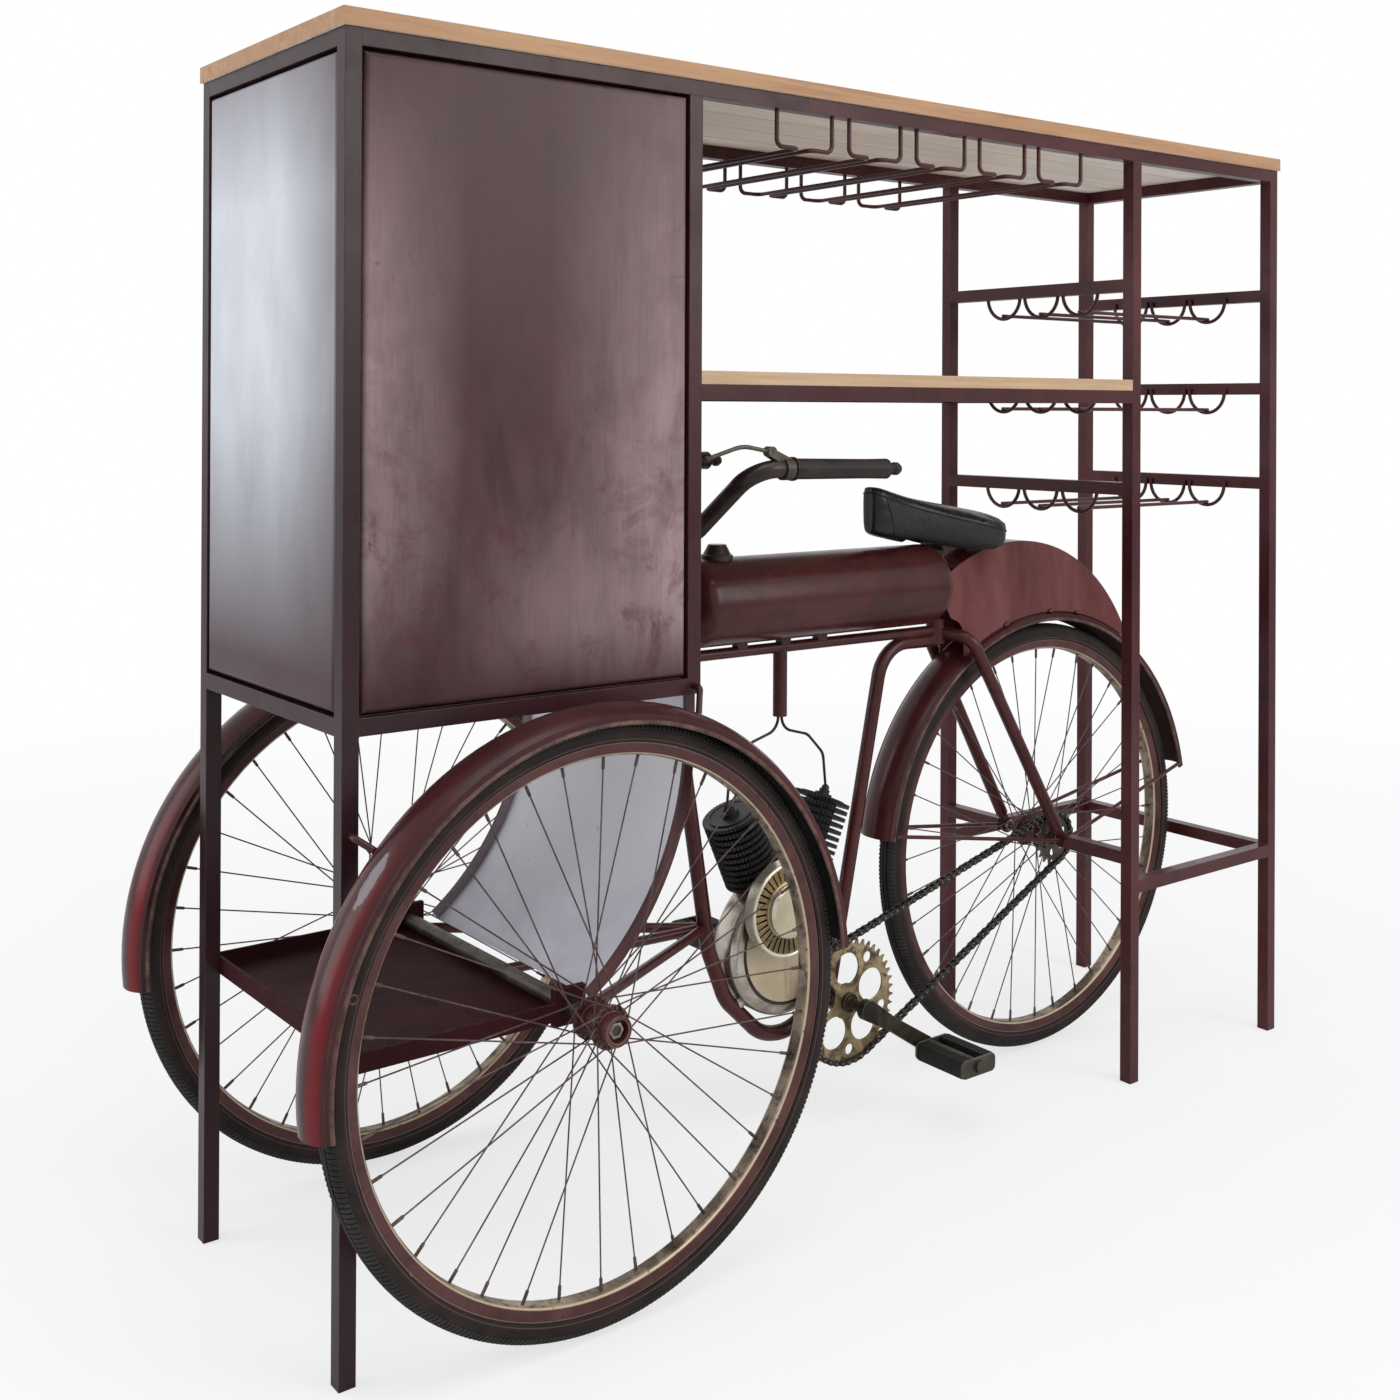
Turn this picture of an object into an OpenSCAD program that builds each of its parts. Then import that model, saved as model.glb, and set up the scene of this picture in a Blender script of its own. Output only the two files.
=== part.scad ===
// Serving cart: a square-tube table built over a three-wheeled bicycle

/* [Table frame] */
// Length over the posts
frame_l = 1735; // [1725:1:1760]
// Depth over the posts
frame_d = 415; // [405:1:425]
// Height of the top board's underside
frame_h = 1475; // [1450:5:1520]
// Square tube size
tube = 20; // [18:0.5:22]
// Top board thickness
top_t = 20; // [14:1:30]
// Top board overhang past the posts
top_over = 3.5; // [1:0.5:8]
// Planks in the top board
planks = 5; // [3:1:8]
// Cabinet length over its posts
cabinet_l = 487; // [480:1:495]
// Underside of the cabinet rails
cabinet_z = 704; // [702:1:712]
// Open bay between the cabinet and the bottle rack posts
bay_l = 857; // [850:1:865]
// Underside of the shelf rails
shelf_z = 1073; // [1050:1:1085]
// Shelf board thickness
shelf_t = 17; // [12:1:20]
// Underside of the low stretchers
stretcher_z = 298; // [270:1:310]

/* [Racks] */
// Wire radius of the racks
wire_r = 3; // [2:0.5:4]
// Bottle cradles side by side
cradle_pitch = 83; // [80:1:90]
// Radius of a cradle hoop
hoop_r = 36; // [33:0.5:37]
// Upper bottle rail, as a share of the height from the rear guard to the top board
rack_high = 0.6968; // [0.685:0.0005:0.71]
// Middle bottle rail, as a share of that height
rack_mid = 0.4811; // [0.47:0.0005:0.49]
// Lower bottle rail, as a share of that height
rack_low = 0.2615; // [0.25:0.0005:0.27]
// First glass hanger, left leg
hanger_x = 617; // [600:1:640]
// Spacing of the glass hangers
hanger_pitch = 128.5; // [120:0.5:135]
// Number of glass hangers
hangers = 5; // [3:1:5]
// Width of a glass hanger
hanger_w = 97; // [90:1:110]
// Slot between the two runs of a hanger, wire centres
hanger_slot = 20; // [16:1:28]
// Drop of a hanger below the rail
hanger_drop = 48; // [40:1:60]

/* [Cabinet] */
// Depth of the pressed panels
pan_d = 18; // [14:1:20]
// Edge radius of the pressed panels
pan_r = 8; // [5:0.5:10]
// Sheet thickness
sheet = 1.5; // [1:0.1:2]
// Gap around the panels and the door
panel_gap = 3; // [2:0.5:4]
// Hinge knuckle radius
knuckle_r = 4.5; // [4:0.1:5]
// Hinge pin radius
hinge_pin_r = 2; // [1.5:0.1:2.5]
// Door knob radius
knob_r = 14; // [10:1:18]

/* [Wheels] */
// Tyre outer radius
tyre_r = 350; // [346:0.5:352]
// Tyre section radius
tyre_w = 18; // [16:0.5:20]
// Ground clearance of the wheels, the posts carry the table
wheel_lift = 3; // [1:0.5:6]
// Front wheel axle, along the frame
front_x = 294; // [288:1:300]
// Front wheel middle plane, from the centre
track = 272.5; // [270:0.5:280]
// Spoke radius
spoke_r = 0.95; // [0.8:0.05:1]
// Front guard outer radius
guard_r = 369; // [367:0.5:371]
// Rear guard outer radius
rear_guard_r = 380; // [376:0.5:383]
// Guard half width
guard_half = 32; // [28:0.5:34]

/* [Drive] */
// Chain pitch
pitch = 12.7; // [12.6:0.05:12.8]
// Chain line from the middle plane
chain_line = 42; // [41:0.5:44]
// Rise of the chain line from crank to rear axle, degrees
chain_rise = 20.5; // [19:0.5:22]
// Crank length
crank_len = 140; // [120:1:142]
// Rest angle of the near crank, degrees
crank_angle = -32.5; // [-60:0.5:0]
// Pedal width
pedal_w = 70; // [60:1:72]

/* [Bicycle] */
// Top tube height
top_tube_z = 711; // [708:1:714]
// Top tube radius
top_tube_r = 8; // [7:0.5:9]
// Down tube radius
down_tube_r = 11; // [10:0.5:11.5]
// Seat tube radius
seat_tube_r = 10.5; // [9:0.5:12]
// Tank radius
tank_r = 63; // [58:1:66]
// Crankcase radius
case_r = 102; // [98:1:103]
// Lean of each cylinder, degrees
lean = 24; // [23.5:0.1:25]
// Fin radius of the cylinders
fin_r = 43; // [40:0.5:43]
// Louvres in the round cover
louvres = 36; // [24:1:40]
// Handlebar radius
bar_r = 12; // [10.5:0.5:12.5]
// Half width of the handlebar
bar_half = 202; // [190:1:215]

/* [Fits] */
// Radial clearance of turning fits
fit = 0.05; // [0.02:0.01:0.08]
// Gap at welded and coped joints
weld = 0.1; // [0.05:0.05:0.2]
// Gap between moving faces
clear = 0.3; // [0.2:0.05:0.5]

/* [Hidden] */
half_d = frame_d / 2;
rail_in = half_d - tube;
rail_z = frame_h - tube;
mid_x = (front_x - guard_r + frame_l + top_over) / 2;
axle_z = tyre_r + wheel_lift;
rack_x = cabinet_l + bay_l;
rear_x = rack_x + tube / 2;
guard_top = axle_z + rear_guard_r;
rack_levels = [for (share = [rack_high, rack_mid, rack_low]) guard_top + share * (frame_h - guard_top)];
right_x = frame_l - tube;
panel_z = cabinet_z + tube + panel_gap;
panel_h = rail_z - panel_gap - panel_z;
panel_w = cabinet_l - 2 * tube - 2 * panel_gap;
end_w = 2 * (rail_in - panel_gap);

lap = 0.6;
lap_step = 0.15;

red = "#4a1c22";
dark = "#26201f";
steel = "#77726c";
pale = "#c9b98f";
wood = "#c58a4a";
black = "#161414";

// Helpers
function unit(v) = v / norm(v);

module frame_to(o, e, f, d)
    multmatrix([[e[0], f[0], d[0], o[0]], [e[1], f[1], d[1], o[1]], [e[2], f[2], d[2], o[2]], [0, 0, 0, 1]])
        children();

module along(a, b) {
    d = unit(b - a);
    s = abs(d[2]) > 0.9 ? [1, 0, 0] : [0, 0, 1];
    e = unit(cross(s, d));
    frame_to(a, e, cross(d, e), d) children();
}

module rod(a, b, r)
    along(a, b) cylinder(h = norm(b - a), r = r, $fn = 48);

module bend(p, a, b, turn_r, r) {
    u = unit(a - p);
    v = unit(b - p);
    turn = 180 - acos(u * v);
    reach = turn_r * tan(turn / 2);
    centre = p + unit(u + v) * turn_r / cos(turn / 2);
    e = unit(p + u * reach - centre);
    f = unit(-u);
    frame_to(centre, e, f, cross(e, f))
        rotate_extrude(angle = turn, $fn = 96) translate([turn_r, 0]) circle(r = r, $fn = 32);
}

function reach_at(pts, i, turn_r) = (i == 0 || i == len(pts) - 1) ? 0 :
    turn_r * tan((180 - acos(unit(pts[i - 1] - pts[i]) * unit(pts[i + 1] - pts[i]))) / 2);

module bent_rod(pts, r, turn_r) {
    for (i = [0 : len(pts) - 2]) {
        d = unit(pts[i + 1] - pts[i]);
        from = max(0, reach_at(pts, i, turn_r) - lap);
        to = max(0, reach_at(pts, i + 1, turn_r) - lap);
        rod(pts[i] + d * from, pts[i + 1] - d * to, r);
    }
    for (i = [1 : len(pts) - 2])
        bend(pts[i], pts[i - 1], pts[i + 1], turn_r, r + lap_step);
}

module box(lo, hi)
    translate(lo) cube(hi - lo);

module both_sides() {
    children();
    mirror([0, 1, 0]) children();
}

module placed()
    translate([-mid_x, 0, 0]) children();

// A side profile drawn in x and z, from y0 to y1
module side(y0, y1)
    translate([0, y1, 0]) rotate([90, 0, 0]) linear_extrude(y1 - y0) children();

// A turned piece whose axis runs towards -y or +y
module near_way(p)
    translate(p) rotate([90, 0, 0]) children();

module far_way(p)
    translate(p) rotate([-90, 0, 0]) children();

module sector(r, a0, a1) {
    far = 2 * r;
    mid = (a0 + a1) / 2;
    polygon([[0, 0], far * [cos(a0), sin(a0)], far * [cos(mid), sin(mid)], far * [cos(a1), sin(a1)]]);
}

module ring(outer, inner)
    difference() {
        circle(r = outer, $fn = 180);
        circle(r = inner, $fn = 180);
    }

// Table frame
module posts() placed() color(red)
    both_sides() {
        for (x = [0, right_x])
            box([x, -half_d, 0], [x + tube, -rail_in, frame_h]);
        box([cabinet_l - tube, -half_d, cabinet_z], [cabinet_l, -rail_in, rail_z]);
        box([rack_x, -half_d, 0], [rack_x + tube, -rail_in, rail_z]);
    }

module long_rail(x0, x1, z)
    both_sides() box([x0, -half_d, z], [x1, -rail_in, z + tube]);

module cross_rail(x, z)
    box([x, weld - rail_in, z], [x + tube, rail_in - weld, z + tube]);

module top_rails() placed() color(red) {
    long_rail(tube, right_x, rail_z);
    for (x = [0, cabinet_l - tube, right_x])
        cross_rail(x, rail_z);
}

module cabinet_rails() placed() color(red) {
    long_rail(tube, cabinet_l - tube, cabinet_z);
    for (x = [0, cabinet_l - tube])
        cross_rail(x, cabinet_z);
}

brace_in = 70;

module rack_rails() placed() color(red) {
    long_rail(cabinet_l, rack_x, shelf_z);
    long_rail(rack_x + tube, right_x, stretcher_z);
    cross_rail(rack_x, shelf_z);
    cross_rail(right_x, stretcher_z);
    for (z = rack_levels)
        cross_rail(right_x, z);
    for (z = [rack_levels[0], rack_levels[2]])
        cross_rail(rack_x, z);
    both_sides()
        box([rack_x, -rail_in, axle_z - tube / 2], [rack_x + tube, -brace_in, axle_z + tube / 2]);
}

// Racks
hoop_rise = 4;
hoop_sweep = 200;
wire_lift = 1.8;

module bottle_cradles() placed() color(red)
    for (z = rack_levels, y = [-cradle_pitch, 0, cradle_pitch]) {
        for (x = [rack_x + tube + wire_r, right_x - wire_r])
            translate([x, y, z + hoop_rise]) rotate([90, 0, 90]) rotate([0, 0, 270 - hoop_sweep / 2])
                rotate_extrude(angle = hoop_sweep, $fn = 96)
                    translate([hoop_r, 0]) circle(r = wire_r, $fn = 24);
        low = z + hoop_rise - hoop_r + wire_lift * wire_r;
        rod([rack_x + tube + weld, y, low], [right_x - weld, y, low], wire_r);
    }

hanger_bend = 10;

module hanger_wire(x, inward) {
    y = half_d - tube / 2;
    low = rail_z - hanger_drop;
    bent_rod([[x, -y, rail_z], [x, -y, low], [x + inward, -y, low], [x + inward, y, low],
        [x, y, low], [x, y, rail_z]], wire_r, hanger_bend);
}

module glass_rack() placed() color(red)
    for (i = [0 : hangers - 1]) {
        inward = (hanger_w - hanger_slot) / 2;
        hanger_wire(hanger_x + i * hanger_pitch, inward);
        hanger_wire(hanger_x + i * hanger_pitch + hanger_w, -inward);
    }

// Boards
groove_w = 1.6;
groove_d = 0.8;

module table_top() placed() color(wood)
    difference() {
        edge = half_d + top_over;
        box([-top_over, -edge, frame_h], [frame_l + top_over, edge, frame_h + top_t]);
        for (i = [1 : planks - 1]) {
            y = edge * (2 * i / planks - 1);
            box([-top_over - 1, y - groove_w / 2, frame_h + top_t - groove_d],
                [frame_l + top_over + 1, y + groove_w / 2, frame_h + top_t + 1]);
        }
    }

module shelf_board() placed() color(wood)
    box([cabinet_l, -half_d, shelf_z + tube], [rack_x, half_d, shelf_z + tube + shelf_t]);

// Cabinet
module rounded_front(w, d, r) {
    translate([0, r]) square([w, d - r]);
    translate([r, 0]) square([w - 2 * r, d]);
    for (x = [r, w - r])
        translate([x, r]) circle(r = r, $fn = 48);
}

module pan_body(w, h, d, r)
    intersection() {
        linear_extrude(h) rounded_front(w, d, r);
        translate([w, 0, 0]) rotate([0, -90, 0]) linear_extrude(w) rounded_front(h, d, r);
    }

module pan(w, h)
    difference() {
        pan_body(w, h, pan_d, pan_r);
        translate([sheet, sheet, sheet]) pan_body(w - 2 * sheet, h - 2 * sheet, pan_d, pan_r - sheet);
    }

module cabinet_panels() placed() color(red) {
    translate([tube + panel_gap, -half_d, panel_z]) pan(panel_w, panel_h);
    translate([0, end_w / 2, panel_z]) rotate([0, 0, -90]) pan(end_w, panel_h);
    translate([cabinet_l, -end_w / 2, panel_z]) rotate([0, 0, 90]) pan(end_w, panel_h);
}

floor_rest = 12;
floor_t = 1.5;

module cabinet_floor() placed() color(red)
    box([tube + weld, -rail_in - floor_rest, cabinet_z + tube],
        [cabinet_l - tube - weld, rail_in + floor_rest, cabinet_z + tube + floor_t]);

stop_w = 15;
stop_t = 3;
stop_z = cabinet_z + tube + floor_t + weld;
stop_top = rail_z - weld;

module stop_ring(w) {
    for (x = [0, w - stop_w])
        box([x, 0, stop_z], [x + stop_w, stop_t, stop_top]);
    for (z = [stop_z, stop_top - stop_w])
        box([stop_w + weld, 0, z], [w - stop_w - weld, stop_t, z + stop_w]);
}

module panel_stops() placed() color(red) {
    back = pan_d + clear;
    inside_w = cabinet_l - 2 * tube - 2 * weld;
    end_ring_w = 2 * (half_d - back - stop_t - weld);
    both_sides() translate([tube + weld, -half_d + back, 0]) stop_ring(inside_w);
    translate([back, end_ring_w / 2, 0]) rotate([0, 0, -90]) stop_ring(end_ring_w);
    translate([cabinet_l - back, -end_ring_w / 2, 0]) rotate([0, 0, 90]) stop_ring(end_ring_w);
}

module cabinet_door() placed() color(red)
    translate([cabinet_l - tube - panel_gap, half_d, panel_z]) rotate([0, 0, 180]) pan(panel_w, panel_h);

hinge_x = tube;
hinge_off = 0.5;
hinge_y = half_d + knuckle_r + hinge_off;
hinge_h = 60;
hinge_share = 0.18;
hinge_zs = [panel_z + panel_h * hinge_share, panel_z + panel_h * (1 - hinge_share)];
leaf_w = 22;
leaf_t = 1.5;
leaf_edge = 2;
knuckle_h = hinge_h / 3;
pin_over = 2;
pin_head_h = 3;
pin_head_r = hinge_pin_r + 1.2;

module knuckle(z0, z1)
    translate([hinge_x, hinge_y, z0]) difference() {
        cylinder(h = z1 - z0, r = knuckle_r, $fn = 48);
        translate([0, 0, -1]) cylinder(h = z1 - z0 + 2, r = hinge_pin_r + fit, $fn = 48);
    }

module hinge_posts() placed() color(steel)
    for (z = hinge_zs) {
        for (k = [[0, knuckle_h - clear / 2], [2 * knuckle_h + clear / 2, hinge_h]])
            difference() {
                union() {
                    knuckle(z + k[0], z + k[1]);
                    box([tube - knuckle_r, half_d, z + k[0]], [tube, half_d + leaf_t, z + k[1]]);
                }
                translate([hinge_x, hinge_y, z]) cylinder(h = hinge_h, r = hinge_pin_r + fit, $fn = 48);
            }
        box([leaf_edge, half_d, z], [tube - knuckle_r, half_d + leaf_t, z + hinge_h]);
        translate([hinge_x, hinge_y, z - pin_over])
            cylinder(h = hinge_h + 2 * pin_over, r = hinge_pin_r, $fn = 48);
        translate([hinge_x, hinge_y, z + hinge_h]) cylinder(h = pin_head_h, r = pin_head_r, $fn = 48);
    }

module hinge_leaves() placed() color(steel)
    for (z = hinge_zs)
        difference() {
            union() {
                knuckle(z + knuckle_h + clear / 2, z + 2 * knuckle_h - clear / 2);
                box([tube, half_d, z + knuckle_h + clear / 2],
                    [tube + knuckle_r, half_d + leaf_t, z + 2 * knuckle_h - clear / 2]);
                box([tube + knuckle_r, half_d, z], [tube + leaf_w, half_d + leaf_t, z + hinge_h]);
            }
            translate([hinge_x, hinge_y, z]) cylinder(h = hinge_h, r = hinge_pin_r + fit, $fn = 48);
        }

knob_stem = 18;
knob_in = 30;
rose_t = 3;
rose_r = knob_r + 2;
knob_flat = 1.5 * knob_r;
knob_rise = 1;

module door_knob() placed() color(pale)
    far_way([cabinet_l - tube - panel_gap - knob_in, half_d, panel_z + panel_h / 2]) {
        cylinder(h = rose_t, r = rose_r, $fn = 64);
        cylinder(h = knob_stem, r = knob_r / 2, $fn = 48);
        translate([0, 0, knob_stem]) intersection() {
            sphere(r = knob_r, $fn = 64);
            translate([0, 0, knob_rise]) cube([3 * knob_r, 3 * knob_r, knob_flat], center = true);
        }
    }

// Tray and scoop under the cabinet
tray_drop = 10;
tray_top = axle_z - tray_drop;
tray_side = 0.5;
tray_t = 2;
angle_t = 3;
angle_w = 22;
tray_low = tray_top - tray_t - angle_t;
lug = 44;
lug_t = 8;
sleeve_r = 9.5;

module tray_plate() placed() color(red)
    box([tube + angle_t + weld, -half_d + lug_t + tray_side, tray_top - tray_t],
        [front_x + lug / 2, half_d - lug_t - tray_side, tray_top]);

module tray_rails() placed() color(red)
    difference() {
        union() {
            both_sides() {
                box([tube, -half_d, tray_low], [front_x - lug / 2, angle_t - half_d, tray_low + angle_w]);
                box([tube, -half_d, tray_low], [front_x - lug / 2, angle_w - half_d, tray_low + angle_t]);
                box([front_x - lug / 2, -half_d, axle_z - lug / 2],
                    [front_x + lug / 2, lug_t - half_d, axle_z + lug / 2]);
            }
            box([tube, -half_d, tray_low], [tube + angle_t, half_d, tray_low + angle_w]);
            box([tube, -half_d, tray_low], [tube + angle_w, half_d, tray_low + angle_t]);
        }
        far_way([front_x, -half_d - 1, axle_z]) cylinder(h = frame_d + 2, r = sleeve_r + fit, $fn = 64);
    }

scoop_r = 373;
scoop_turn_z = 650;
scoop_half = 190;
scoop_rise = 6;
scoop_low = tray_top + scoop_rise;
edge_w = 14;
edge_t = 6;

module scoop_profile(t) {
    low = asin((scoop_turn_z - scoop_low) / scoop_r);
    translate([cabinet_l - scoop_r, scoop_turn_z]) intersection() {
        ring(scoop_r, scoop_r - t);
        sector(scoop_r, -low, 0);
    }
    translate([cabinet_l - t, scoop_turn_z]) square([t, cabinet_z - scoop_turn_z]);
}

module scoop() placed() color(red) {
    side(-scoop_half, scoop_half) scoop_profile(sheet);
    side(-scoop_half - edge_t, -scoop_half) scoop_profile(edge_w);
    side(scoop_half, scoop_half + edge_t) scoop_profile(edge_w);
}

// Axles and stays
axle_r = 6;
hub_out = 38;
cup_deep = 12;
sleeve_in = 31.5;
sleeve_half = track - sleeve_in;
nut_t = 6;
nut_r = 10;
nut_gap = 0.5;
thread_out = nut_t - 2 * nut_gap;
rear_nut_y = 50;

module axles() placed() color(steel) {
    front_half = track + hub_out - cup_deep + thread_out;
    far_way([front_x, 0, axle_z]) {
        translate([0, 0, -front_half]) cylinder(h = 2 * front_half, r = axle_r, $fn = 64);
        translate([0, 0, -sleeve_half]) cylinder(h = 2 * sleeve_half, r = sleeve_r, $fn = 64);
    }
    far_way([rear_x, -brace_in, axle_z]) cylinder(h = 2 * brace_in, r = axle_r, $fn = 64);
}

module nut()
    difference() {
        cylinder(h = nut_t, r = nut_r, $fn = 6);
        translate([0, 0, -1]) cylinder(h = nut_t + 2, r = axle_r + fit, $fn = 48);
    }

module axle_nuts() placed() color(steel)
    both_sides() {
        near_way([front_x, -(track + hub_out - cup_deep + nut_gap), axle_z]) nut();
        near_way([rear_x, -rear_nut_y - clear, axle_z]) nut();
    }

head_x = cabinet_l + 105;
down_pts = [[head_x, 0, top_tube_z], [head_x + 70, 0, 291], [head_x + 101, 0, 214], [head_x + 167, 0, 150],
    [head_x + 215, 0, 142]];
stay_r = 7;
stay_drop = 2;
stay_y = half_d - lug_t / 2;
stay_z = axle_z - sleeve_r - stay_r + stay_drop;
stay_end_z = 324;

function down_x(z) = down_pts[0][0] + (down_pts[0][2] - z) * (down_pts[1][0] - down_pts[0][0])
    / (down_pts[0][2] - down_pts[1][2]);

module axle_stays() placed() color(dark)
    difference() {
        union() {
            both_sides()
                rod([front_x + lug / 2 - lug_t, -stay_y, stay_z], [down_x(stay_end_z), 0, stay_end_z],
                    stay_r);
            rod([front_x - lug, 0, tray_top - tray_t - stay_r], [down_x(stay_end_z), 0, stay_end_z], stay_r);
        }
        rod(down_pts[0], down_pts[1], down_tube_r + weld);
        both_sides()
            box([front_x - lug / 2, -half_d - lug_t, axle_z - lug],
                [front_x + lug / 2 + weld, 2 * lug_t - half_d, axle_z + lug]);
    }

// Guards
guard_dome = 12;
guard_skirt = 8;
bead_r = 2.5;
dome_r = (guard_half * guard_half + guard_dome * guard_dome) / (2 * guard_dome);
bead_in = guard_dome + guard_skirt;

module guard(arc, r)
    rotate([0, 0, arc[0]]) rotate_extrude(angle = arc[1] - arc[0], $fn = 180) {
        edge = r - guard_dome;
        intersection() {
            translate([r - dome_r, 0]) ring(dome_r, dome_r - sheet);
            translate([edge, -guard_half]) square([2 * guard_dome, 2 * guard_half]);
        }
        for (y = [-guard_half, guard_half]) {
            translate([r - bead_in, y - sheet / 2]) square([guard_skirt + sheet / 2, sheet]);
            translate([r - bead_in, y]) circle(r = bead_r, $fn = 24);
        }
    }

front_arc = [4, 186];
rear_arc = [11, 172.6];

module front_guards() placed() color(red)
    both_sides() near_way([front_x, -track, axle_z]) guard(front_arc, guard_r);

module rear_guard() placed() color(red)
    near_way([rear_x, 0, axle_z]) guard(rear_arc, rear_guard_r);

function on_bead(x, r, a, y) = [x + (r - bead_in) * cos(a), y, axle_z + (r - bead_in) * sin(a)];
bracket_r = 4;
bracket_knee = 12;
bracket_bend = 8;
bracket_over = 10;
cabinet_bracket_a = 62;
post_bracket_a = 139;
post_bracket_z = 598;
eye_r = 11;
eye_t = 3;
eye_y = 64;
eye_grip = 9;
guard_stay_r = 3;
stay_inset = 1.2;

// Bent rod from the frame, cut flush against the bead of a front guard
module guard_bracket(foot, a)
    difference() {
        tip = on_bead(front_x, guard_r, a, -(track - guard_half));
        knee = foot - [0, bracket_knee, 0];
        seat = -(track - guard_half - bead_r - clear);
        bent_rod([foot, knee, tip + unit(tip - knee) * bracket_over], bracket_r, bracket_bend);
        box([tip[0] - bracket_over * 3, seat - guard_half, tip[2] - bracket_over * 3],
            [tip[0] + bracket_over * 3, seat, tip[2] + bracket_over * 3]);
    }

module rear_guard_stay(a, inset) {
    tip = on_bead(rear_x, rear_guard_r, a + inset, -guard_half);
    hub_end = [rear_x + eye_grip * cos(a), -eye_y - eye_t / 2, axle_z + eye_grip * sin(a)];
    rod(hub_end, tip - unit(tip - hub_end) * (bead_r + clear), guard_stay_r);
}

module guard_stays() placed() color(red)
    both_sides() {
        guard_bracket([cabinet_l - tube / 2, -half_d, cabinet_z + tube / 2], cabinet_bracket_a);
        guard_bracket([tube / 2, -half_d, post_bracket_z], post_bracket_a);
        difference() {
            union() {
                near_way([rear_x, -eye_y, axle_z]) cylinder(h = eye_t, r = eye_r, $fn = 48);
                rear_guard_stay(rear_arc[0], stay_inset);
                rear_guard_stay(rear_arc[1], -stay_inset);
            }
            far_way([rear_x, -brace_in, axle_z]) cylinder(h = brace_in, r = axle_r + fit, $fn = 48);
        }
    }

// Wheels, drawn about z with the outer side up
rim_r = 323.5;
rim_half = 14;
rim_in = 308;
flange_z = 19;
flange_r = 25.5;
flange_t = 3.5;
hole_circle = 22.5;
barrel_r = 15;
spokes_per_flange = 18;
lace_turn = 60;

groove_pitch = 7;
groove_half = 1;
tread_deep = 1.4;
tread_fall = 0.2;

module tyre() color(black)
    rotate_extrude($fn = 180) difference() {
        translate([tyre_r - tyre_w, 0]) circle(r = tyre_w, $fn = 64);
        translate([0, -2 * tyre_w]) square([rim_r + clear, 4 * tyre_w]);
        for (y = [-groove_pitch, 0, groove_pitch])
            translate([tyre_r - tread_deep - abs(y) * tread_fall, y - groove_half])
                square([tyre_w, 2 * groove_half]);
    }

rim_lip = 2.5;
well_half = 7;
well_deep = 6.5;
seat_half = 10;
bead_seat = 5;
rim_flare = 4;
flare_half = 12.5;
rim_side = [[rim_r - well_deep, well_half], [rim_r - bead_seat, seat_half],
    [rim_r, rim_half - rim_lip], [rim_r, rim_half], [rim_in + rim_flare, flare_half], [rim_in, well_half]];
rim_back = [for (i = [len(rim_side) - 1 : -1 : 0]) [rim_side[i][0], -rim_side[i][1]]];

module rim() color(pale)
    rotate_extrude($fn = 180) polygon(concat(rim_side, rim_back));

module flange_holes()
    for (side = [-1, 1], j = [0 : spokes_per_flange - 1]) {
        a = (j + (side > 0 ? 0.5 : 0)) * 360 / spokes_per_flange;
        translate([hole_circle * cos(a), hole_circle * sin(a), side * flange_z - flange_t])
            cylinder(h = 2 * flange_t, r = spoke_r + weld, $fn = 24);
    }

function flange_steps(z, r) = [[barrel_r, z - flange_t / 2], [flange_r, z - flange_t / 2],
    [flange_r, z + flange_t / 2], [r, z + flange_t / 2]];

hub_bore = axle_r + fit;
hub_gap = 1.5;
hub_in = sleeve_half + hub_gap - track;
cup_r = 18;
cup_in = 13;
cup_edge = 1;

module front_hub() color(pale)
    difference() {
        rotate_extrude($fn = 96)
            polygon(concat([[hub_bore, hub_in], [barrel_r, hub_in]],
                flange_steps(-flange_z, barrel_r), flange_steps(flange_z, cup_r),
                [[cup_r, hub_out - cup_edge], [cup_r - cup_edge, hub_out], [cup_in + cup_edge, hub_out],
                [cup_in, hub_out - cup_edge], [cup_in, hub_out - cup_deep], [hub_bore, hub_out - cup_deep]]));
        flange_holes();
    }

sprocket_t = 3;
boss_r = 12;
boss_gap = 3;
rear_hub_in = 34;

module rear_hub_body() color(pale)
    difference() {
        rotate_extrude($fn = 96) {
            seat = chain_line - sprocket_t / 2 - weld;
            boss_end = rear_nut_y - boss_gap;
            polygon(concat([[hub_bore, -rear_hub_in], [barrel_r, -rear_hub_in]],
                flange_steps(-flange_z, barrel_r), flange_steps(flange_z, cup_r),
                [[cup_r, seat], [boss_r, seat], [boss_r, boss_end], [hub_bore, boss_end]]));
        }
        flange_holes();
    }

nipple_r = 2;
nipple_l = 14;
nipple_taper = 2;
head_t = 1;
head_ease = 0.05;
outer_gap = 0.55;
inner_gap = 0.15;
rim_gap = 0.35;
rim_offset = 3;

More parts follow.
